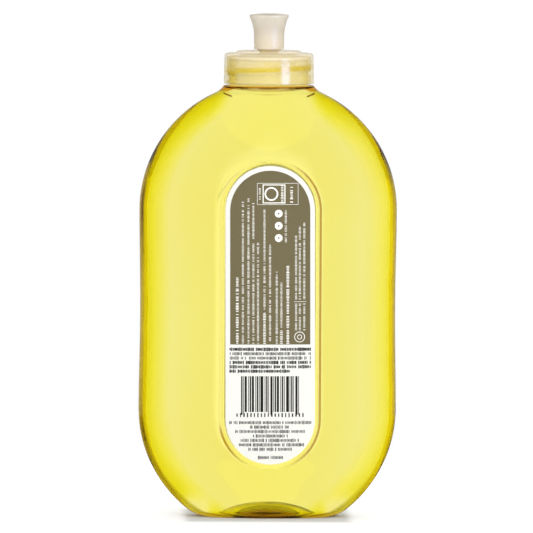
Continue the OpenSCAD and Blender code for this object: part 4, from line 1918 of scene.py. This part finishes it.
    def front_print(self) -> bpy.types.Object:
        """Generic print on the other label, which the photograph doesn't show: bars and a plain ring.

        Returns:
            The print, as one piece.
        """
        ink, plan, top = self.white.material(), self.front_plan, self.field_top
        plates = [self.bar(-half, half, top - low, top - high) for half, low, high in plan.bars]
        for r, line in plan.rings:
            plates += self.ring_bars(0, top - plan.rings_drop, r, line)
        rows = []
        for k in range(plan.rows_count):
            end = plan.rows_half - plan.rows_step * (k % 2)
            rows.append(self.row(-plan.rows_half, end, top - plan.rows_drop - plan.rows_pitch * k))
        parts = [self.press.run(rows, self.lift(1), plan.style, ink), self.lifted(self.outline(plates))]
        return self.printed("front_print_white", parts, Side.FRONT, ink)

    def lay(
        self, name: str, cut: Sheet, side: Side, finish: bpy.types.Material, node: str
    ) -> None:
        """Builds, dresses and reports one sheet.

        Args:
            name: name of the piece.
            cut: outline and depths of the sheet.
            side: broad side that takes it.
            finish: its material.
            node: CAD node that it stands for.
        """
        report(wear(self.sheet(name, cut, side), finish), "bottle", [node])

    def build(self) -> None:
        """Builds both labels with their fields and print."""
        near, far, olive = Side.INFORMATION, Side.FRONT, self.olive.material()
        # The films reach a little into the wall's skin, so that no air parts them from the plastic
        film = Sheet(self.half_w, self.low, self.high, True, -self.sunk, self.ink_depth)
        inner, outer = self.ink_depth - self.ink_t / 2, self.ink_depth + self.ink_t
        ink = Sheet(self.field_r, self.field_bottom, self.field_top, False, inner, outer)
        self.lay("information_film", film, near, self.film.material(), "information_label")
        self.lay("olive_field", ink, near, olive, "label_field")
        report(self.field_print(), "bottle", ["field_print"])
        report(self.dark_print(), "bottle", ["label_print"])
        self.lay("front_film", film, far, self.front_film.material(), "front_label")
        self.lay("front_olive_field", ink, far, olive, "front_field")
        report(self.front_print(), "bottle", [])


# The closure and the spout


@dataclass
class Closure:
    """The screw closure with its chimney and plug pin, the sealing ring and the push-pull spout."""

    neck: NeckForm = field(default_factory=NeckForm)
    ledge_z: float = 194.2
    skirt_gap: float = 0.75
    skirt_wall: float = 1.1
    skirt_draft: float = 0.2
    edge: float = 1.6
    deck_t: float = 1.5
    disc_r: float = 14.5
    disc_h: float = 1.0
    seal_t: float = 1.2
    seal_bore: float = 13.5
    chimney_r: float = 5.4
    chimney_wall: float = 1.2
    bead_h: float = 0.45
    bead_l: float = 1.2
    pin_r: float = 2.0
    spout_wall: float = 0.8
    spout_h: float = 16.0
    spout_straight: float = 6.0
    rim_r: float = 8.8
    spout_gap: float = 0.7
    spout_travel: float = 4.5
    collar_h: float = 3.4
    clear: float = 0.3
    slide: float = 0.15
    seal_clear: float = 0.1
    segments: int = 160
    thread_rows: int = 40
    thread_end: float = 0.5
    pin_sides: int = 48
    pin_core: float = 0.3
    spoke_half: float = 0.6
    spoke_h: float = 2.0
    spoke_turns: Point = (30.0, 150.0, 270.0)
    seal_sides: int = 96
    seal_edge: float = 0.2
    flare_steps: int = 16
    flare_drop: float = 1.3
    flow_gap: float = 1.6
    lip_h: float = 2.0
    relief_over: float = 1.0
    bead_slope: float = 0.3
    thread_slack: float = 0.1
    foam: PrintedInk = PrintedInk("closed_cell_foam", "F2F1EC", "E9E7E0", 0.6, 0.8)
    cap_plastic: MilkyPlastic = MilkyPlastic(
        name="natural_polypropylene_moulded",
        hue="FFF4BE",
        dense="FBEDB0",
        clear=0.55,
        roughness=0.16,
        thin="F2E6C4",
        fade=(204.0, 207.0),
        # Painted golden light along the thread and up the skirt's sides, stronger on the left
        wet="F6DC3A",
        painted_light_band=(201.9, 0.9, 0.036),
        painted_light_sides=((13.6, 16.2), (19.4, 17.8)),
        painted_light_top=(210.5, 200.5),
        painted_light_strengths=(0.8, 0.85, 0.35),
    )
    spout_plastic: MilkyPlastic = MilkyPlastic(
        name="natural_polyethylene_moulded",
        hue="F6EFE2",
        dense="F2EBDB",
        clear=0.14,
        roughness=0.42,
        thin="E2DCD0",
        fade=(212.0, 222.0),
    )

    @cached_property
    def skirt_r(self) -> float:
        """Inner radius of the skirt."""
        return self.neck.neck_r + self.neck.thread_h + self.clear

    @cached_property
    def closure_r(self) -> float:
        """Outer radius of the skirt."""
        return self.skirt_r + self.skirt_wall

    @cached_property
    def seal_z(self) -> float:
        """Height of the sealing ring's underside."""
        return self.ledge_z + self.neck.neck_h + self.seal_clear

    @cached_property
    def deck_z(self) -> float:
        """Height of the deck's underside."""
        return self.seal_z + self.seal_t + self.seal_clear

    @cached_property
    def disc_z(self) -> float:
        """Height of the raised disc's top."""
        return self.deck_z + self.deck_t + self.disc_h

    @cached_property
    def spout_z(self) -> float:
        """Height of the spout's lower edge when it is pushed down."""
        return self.disc_z + self.spout_gap

    @cached_property
    def bead_z(self) -> float:
        """Height of the catch bead's lower face."""
        return self.spout_z + self.collar_h + self.spout_travel + self.slide

    @cached_property
    def chimney_top(self) -> float:
        """Height of the chimney's top."""
        return self.bead_z + self.bead_l + self.bead_h / 2

    def cap(self) -> bpy.types.Object:
        """Builds the closure with its inner thread, chimney and plug pin.

        Returns:
            The closure, as one piece.
        """
        low, top = self.ledge_z + self.skirt_gap, self.deck_z + self.deck_t
        r_in, r_out = self.skirt_r, self.closure_r
        tube, bead = self.chimney_r, self.chimney_r + self.bead_h
        bore = tube - self.chimney_wall
        pocket = self.disc_r - self.deck_t
        corners = [
            (r_in, low, 0.25),
            (r_out + self.skirt_draft, low, 0.3),
            (r_out, top, self.edge),
            (self.disc_r, top, 0.3),
            (self.disc_r, self.disc_z, 0.35),
            (tube, self.disc_z, 0.4),
            (tube, self.bead_z, 0.1),
            (bead, self.bead_z + self.bead_slope, 0.15),
            (bead, self.bead_z + self.bead_l - self.bead_slope, 0.15),
            (tube, self.chimney_top, 0.2),
            (bore, self.chimney_top, 0.15),
            (bore, self.deck_z + self.disc_h, 0.2),
            (pocket, self.deck_z + self.disc_h, 0.2),
            (pocket, self.deck_z, 0.2),
            (r_in, self.deck_z, 0.3),
        ]
        loop = rounded(corners)
        # Extra rows down the inside of the skirt carry the thread
        end, near = self.thread_end, self.thread_end - self.thread_slack
        loop += [(r_in, z) for z in between(self.deck_z - end, low + end, self.thread_rows)]
        start = self.ledge_z + self.neck.thread_z - self.neck.pitch / 2

        def thread(angle: float, r: float, z: float) -> float:
            """The closure's thread, which stands inwards from the skirt.

            Args:
                angle: degrees around from +X.
                r: radius of the point.
                z: height of the point.

            Returns:
                How far the point moves outwards.
            """
            if abs(r - r_in) > 1e-6 or not low + near < z < self.deck_z - near:
                return 0.0
            return self.neck.thread(angle, z - start, -1.0)

        made = lathe("screw_closure", loop, self.segments, thread)
        pin = self.pin()
        work = bmesh.new()
        work.from_mesh(made.data)
        work.from_mesh(pin.data)
        bpy.data.objects.remove(pin)
        work.to_mesh(made.data)
        work.free()
        smoothed(made.data)
        return wear(made, self.cap_plastic.material())

    def pin(self) -> bpy.types.Object:
        """Builds the plug pin and the three spokes that hold it.

        Returns:
            The pin with its spokes.
        """
        foot, top = self.deck_z + self.disc_h, self.spout_z + self.spout_h - 0.5
        core, count, points = self.pin_core, self.pin_sides, []
        loop = rounded([(core, foot, 0), (self.pin_r, foot, 0.2), (self.pin_r, top, 0.5), (core, top, 0)])
        for r, z in loop:
            turns = [2 * math.pi * k / count for k in range(count)]
            points += [(r * math.cos(a), r * math.sin(a), z) for a in turns]
        points += [(0, 0, foot), (0, 0, top)]
        faces = skin_faces(len(loop), count, True)
        reach, half, head = self.chimney_r - self.chimney_wall / 2, self.spoke_half, foot + self.spoke_h
        for turn in self.spoke_turns:
            first = len(points)
            spin = Matrix.Rotation(math.radians(turn), 3, "Z")
            for x in (self.pin_r / 2, reach):
                for y, z in ((-half, foot), (half, foot), (half, head), (-half, head)):
                    points.append(tuple(spin @ Vector((x, y, z))))
            box = ((0, 1, 2, 3), (7, 6, 5, 4), (0, 4, 5, 1), (1, 5, 6, 2), (2, 6, 7, 3), (3, 7, 4, 0))
            faces += [[first + k for k in face] for face in box]
        return mesh_object("plug_pin", np.array(points), faces)

    def seal(self) -> bpy.types.Object:
        """Builds the sealing ring that the closure presses on the lip.

        Returns:
            The ring.
        """
        outer, low, edge = self.skirt_r - self.clear, self.seal_z, self.seal_edge
        high = low + self.seal_t
        spots = ((self.seal_bore, low), (outer, low), (outer, high), (self.seal_bore, high))
        return lathe("foam_seal", rounded([(r, z, edge) for r, z in spots]), self.seal_sides)

    def spout(self) -> bpy.types.Object:
        """Builds the push-pull spout around its bore.

        Returns:
            The spout.
        """
        low, top = self.spout_z, self.spout_z + self.spout_h
        relief = self.chimney_r + self.bead_h + self.slide
        wall_r = relief + self.spout_wall
        collar = self.chimney_r + self.slide
        relief_top = self.chimney_top + self.relief_over
        flow, hole = self.pin_r + self.flow_gap, self.pin_r + self.slide
        rise = self.spout_h - self.spout_straight - self.flare_drop
        corners = [(collar, low, 0.15), (wall_r - 0.1, low, 0.35)]
        for k in range(self.flare_steps + 1):
            share = k / self.flare_steps
            r = wall_r + (self.rim_r - wall_r) * share**2
            corners.append((r, low + self.spout_straight + rise * share, 0))
        corners += [
            (self.rim_r, top - 0.5, 0.6),
            (flow + self.slide, top, 0.8),
            (hole, top, 0.25),
            (hole, top - self.lip_h, 0.1),
            (flow, top - self.lip_h, 0.2),
            (flow, relief_top, 0.2),
            (relief, relief_top, 0.3),
            (relief, low + self.collar_h, 0.2),
            (collar, low + self.collar_h, 0.1),
        ]
        return wear(lathe("push_pull_spout", rounded(corners), self.segments), self.spout_plastic.material())

    def build(self) -> None:
        """Builds and dresses the closure, the seal and the spout."""
        report(self.cap(), "cap", ["closure"])
        report(wear(self.seal(), self.foam.material()), "seal", ["sealing_ring"])
        report(self.spout(), "spout", ["spout"])


# The studio


@dataclass(frozen=True)
class Softbox:
    """A soft area lamp that faces the bottle's middle.

    Its azimuth is in degrees to the right of -Y, its height and its distance from the axis, away, are
    those of its middle, and its size is a width and a height.
    """

    name: str
    azimuth: float
    height: float
    away: float
    size: Flat
    watts: float
    aim_z: float = 120.0

    def build(self) -> bpy.types.Object:
        """Adds the lamp to the scene.

        Returns:
            The lamp.
        """
        light = bpy.data.lights.new(self.name, "AREA")
        light.shape = "RECTANGLE"
        light.size, light.size_y = (side * MM for side in self.size)
        light.energy = self.watts
        made = placed(self.name, light)
        a = math.radians(self.azimuth)
        spot = Vector((math.sin(a) * self.away, -math.cos(a) * self.away, self.height))
        made.location = spot * MM
        made.rotation_euler = (Vector((0, 0, self.aim_z)) - spot).to_track_quat("-Z", "Y").to_euler()
        made.visible_camera = False
        return made


@dataclass
class Studio:
    """White sweep, soft lamps and the camera at the photograph's viewing angle."""

    distance: float = 8000.0
    frame_mm: float = 240.2
    sensor: float = 36.0
    clip_m: float = 100.0
    target: Point = (-0.62, 0.0, 112.5)
    elevation: float = 2.7
    yaw: float = 0.9
    roll: float = 0.3
    bounces: int = 32
    surround: float = 0.72
    paper: str = "EBEBEB"
    floor_half: float = 420.0
    floor_lift: float = 0.33
    under_lift: float = 0.62
    floor_near: Flat = (75.0, 125.0)
    # Painted shadow: the floor's lift is left off within these distances of the foot across and along, and
    # eased back past them
    painted_shadow_pool: tuple[Flat, Flat] = ((34.0, 40.0), (40.0, 53.0))
    band: Flat = (35.0, 70.0)
    backdrop: Flat = (35.0, 70.0)
    backdrop_level: float = 1.06
    sides: float = 1.3
    dim: float = 0.85
    front: float = 0.04
    front_box: float = 1.4
    box_side: Flat = (0.27, 0.38)
    box_top: Flat = (0.02, 0.09)
    mirrored_backdrop: float = 0.3
    mirrored_top: Flat = (0.1, 0.4)
    front_lamp: Softbox = Softbox("front_softbox", 8.0, 420.0, 1600.0, (1300.0, 1100.0), 23.0)
    back_lamp: Softbox = Softbox("back_softbox", 180.0, 300.0, 1400.0, (1400.0, 1200.0), 18.0)
    strip_lamp: Softbox = Softbox("strip_softbox", 43.0, 165.0, 600.0, (240.0, 150.0), 5.0)
    strip_colour: str = "8CA8FF"

    def camera(self) -> None:
        """Places the camera and makes it the scene's own."""
        e, a = math.radians(self.elevation), math.radians(self.yaw)
        away = Vector((-math.sin(a) * math.cos(e), -math.cos(a) * math.cos(e), math.sin(e)))
        lens = bpy.data.cameras.new("camera")
        lens.sensor_width = self.sensor
        lens.lens = self.sensor * self.distance / self.frame_mm
        lens.clip_end = self.clip_m
        made = placed("camera", lens)
        made.location = (Vector(self.target) + away * self.distance) * MM
        turn = (-away).to_track_quat("-Z", "Y").to_matrix()
        made.rotation_euler = (turn @ Matrix.Rotation(math.radians(self.roll), 3, "Z")).to_euler()
        bpy.context.scene.camera = made

    def world(self) -> None:
        """White surroundings near the horizon, as a sweep and side panels give, and dim above and below."""
        world = bpy.data.worlds.new("white_sweep")
        bpy.context.scene.world = world
        world.use_nodes = True
        world.node_tree.nodes.clear()
        g = Graph(world.node_tree)
        x, y, z = g.add("ShaderNodeSeparateXYZ", {"Vector": g.add("ShaderNodeTexCoord")["Generated"]})
        low, high = (math.sin(math.radians(a)) for a in self.band)
        near, far = (math.cos(math.radians(a)) for a in self.backdrop)
        behind = g.span(y, far, near)
        # Seen through the body, the side panels are brighter than the backdrop
        sides = g.span(behind, 0.0, 1.0, self.sides, self.backdrop_level, smooth=False)
        around = g.product(g.span(g.math("ABSOLUTE", z), low, high, 1.0, self.dim), sides)
        # Mirrored, there are the backdrop and a soft box around the camera, and the rest is dark
        across = g.span(g.math("ABSOLUTE", x), *self.box_side, self.front_box, self.front)
        box = g.product(across, g.span(z, *self.box_top, 1.0, 0.0))
        # The backdrop that is mirrored ends a little above the horizon
        sweep = g.span(z, *self.mirrored_top, self.mirrored_backdrop, self.front)
        mirrored = g.blend(behind, box, sweep)
        # A ray that comes through clear plastic counts as glossy too, so the transmission flag decides
        either = g.blend(g.rays("Transmission"), mirrored, around)
        level = g.math("MAXIMUM", either, g.rays("Camera"))
        light, white = (
            g.shader("Background", {"Color": WHITE, "Strength": strength})
            for strength in (self.surround, level)
        )
        both = g.either(g.rays("Glossy", "Transmission", "Camera"), light, white)
        g.add("ShaderNodeOutputWorld", {"Surface": both})

    def floor(self) -> None:
        """A wide pale floor that keeps the rendered contact shadow, with a painted shadow around the foot."""
        half = self.floor_half
        points = np.array([(-half, -half, 0), (half, -half, 0), (half, half, 0), (-half, half, 0)], float)
        made = mesh_object("floor", points, [[0, 1, 2, 3]], closed=False)
        paper, g = new_material("white_sweep_paper")
        matt = g.shader("BsdfDiffuse", {"Color": linear(self.paper)})
        # The paper shows its own light to the camera and through clear pieces, and lights nothing with it
        through = g.product(g.rays("Glossy", "Transmission"), self.under_lift)
        lift = g.math("MULTIPLY_ADD", g.rays("Camera"), self.floor_lift, through)
        # Painted shadow around the foot: the lift is left off there, for the camera
        x_past_shadow, y_past_shadow = (
            g.eased(g.math("ABSOLUTE", way), *ends) for way, ends in zip(g.spot[:2], self.painted_shadow_pool)
        )
        clear = g.math("MAXIMUM", g.math("MAXIMUM", x_past_shadow, y_past_shadow), g.rays("Transmission"))
        glow, sweep, dark = (
            g.shader("Emission", {"Color": WHITE, "Strength": strength})
            for strength in (g.product(lift, clear), self.backdrop_level, self.front)
        )
        lit = g.shader("AddShader", {0: matt, 1: glow})
        # Away from the foot, what comes through the body finds the floor as bright as the backdrop
        radius = g.add("ShaderNodeVectorMath", {0: g.place}, operation="LENGTH")["Value"]
        share = g.product(g.eased(radius, *self.floor_near), g.rays("Transmission"))
        # The wall's gloss mirrors the dark room in front, not the lit paper
        mirror = g.math("SUBTRACT", g.rays("Glossy"), g.rays("Transmission"), use_clamp=True)
        surface = g.either(mirror, g.either(share, lit, sweep), dark)
        g.add("ShaderNodeOutputMaterial", {"Surface": surface})
        wear(made, paper)

    def build(self) -> None:
        """Sets up the camera, the floor, the surroundings and the lamps."""
        scene = bpy.context.scene
        scene.view_settings.view_transform = "Standard"
        for name in ("max_bounces", "transmission_bounces", "transparent_max_bounces"):
            setattr(scene.cycles, name, self.bounces)
        self.camera()
        self.world()
        self.floor()
        for softbox in (self.front_lamp, self.back_lamp):
            lamp = softbox.build()
            lamp.visible_transmission = lamp.visible_glossy = False
        strip = self.strip_lamp.build()
        strip.data.color = linear(self.strip_colour)[:3]
        strip.visible_transmission = strip.visible_diffuse = False
        moulded = bpy.data.collections.new("moulded_pieces")
        for name in ("screw_closure", "push_pull_spout"):
            moulded.objects.link(bpy.data.objects[name])
        strip.light_linking.receiver_collection = moulded


def main() -> None:
    """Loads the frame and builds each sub-assembly in order."""
    logging.basicConfig(level=logging.INFO, format="%(name)s: %(message)s")
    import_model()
    Bottle().build()
    Labels().build()
    Closure().build()
    Studio().build()


if __name__ == "__main__":
    main()
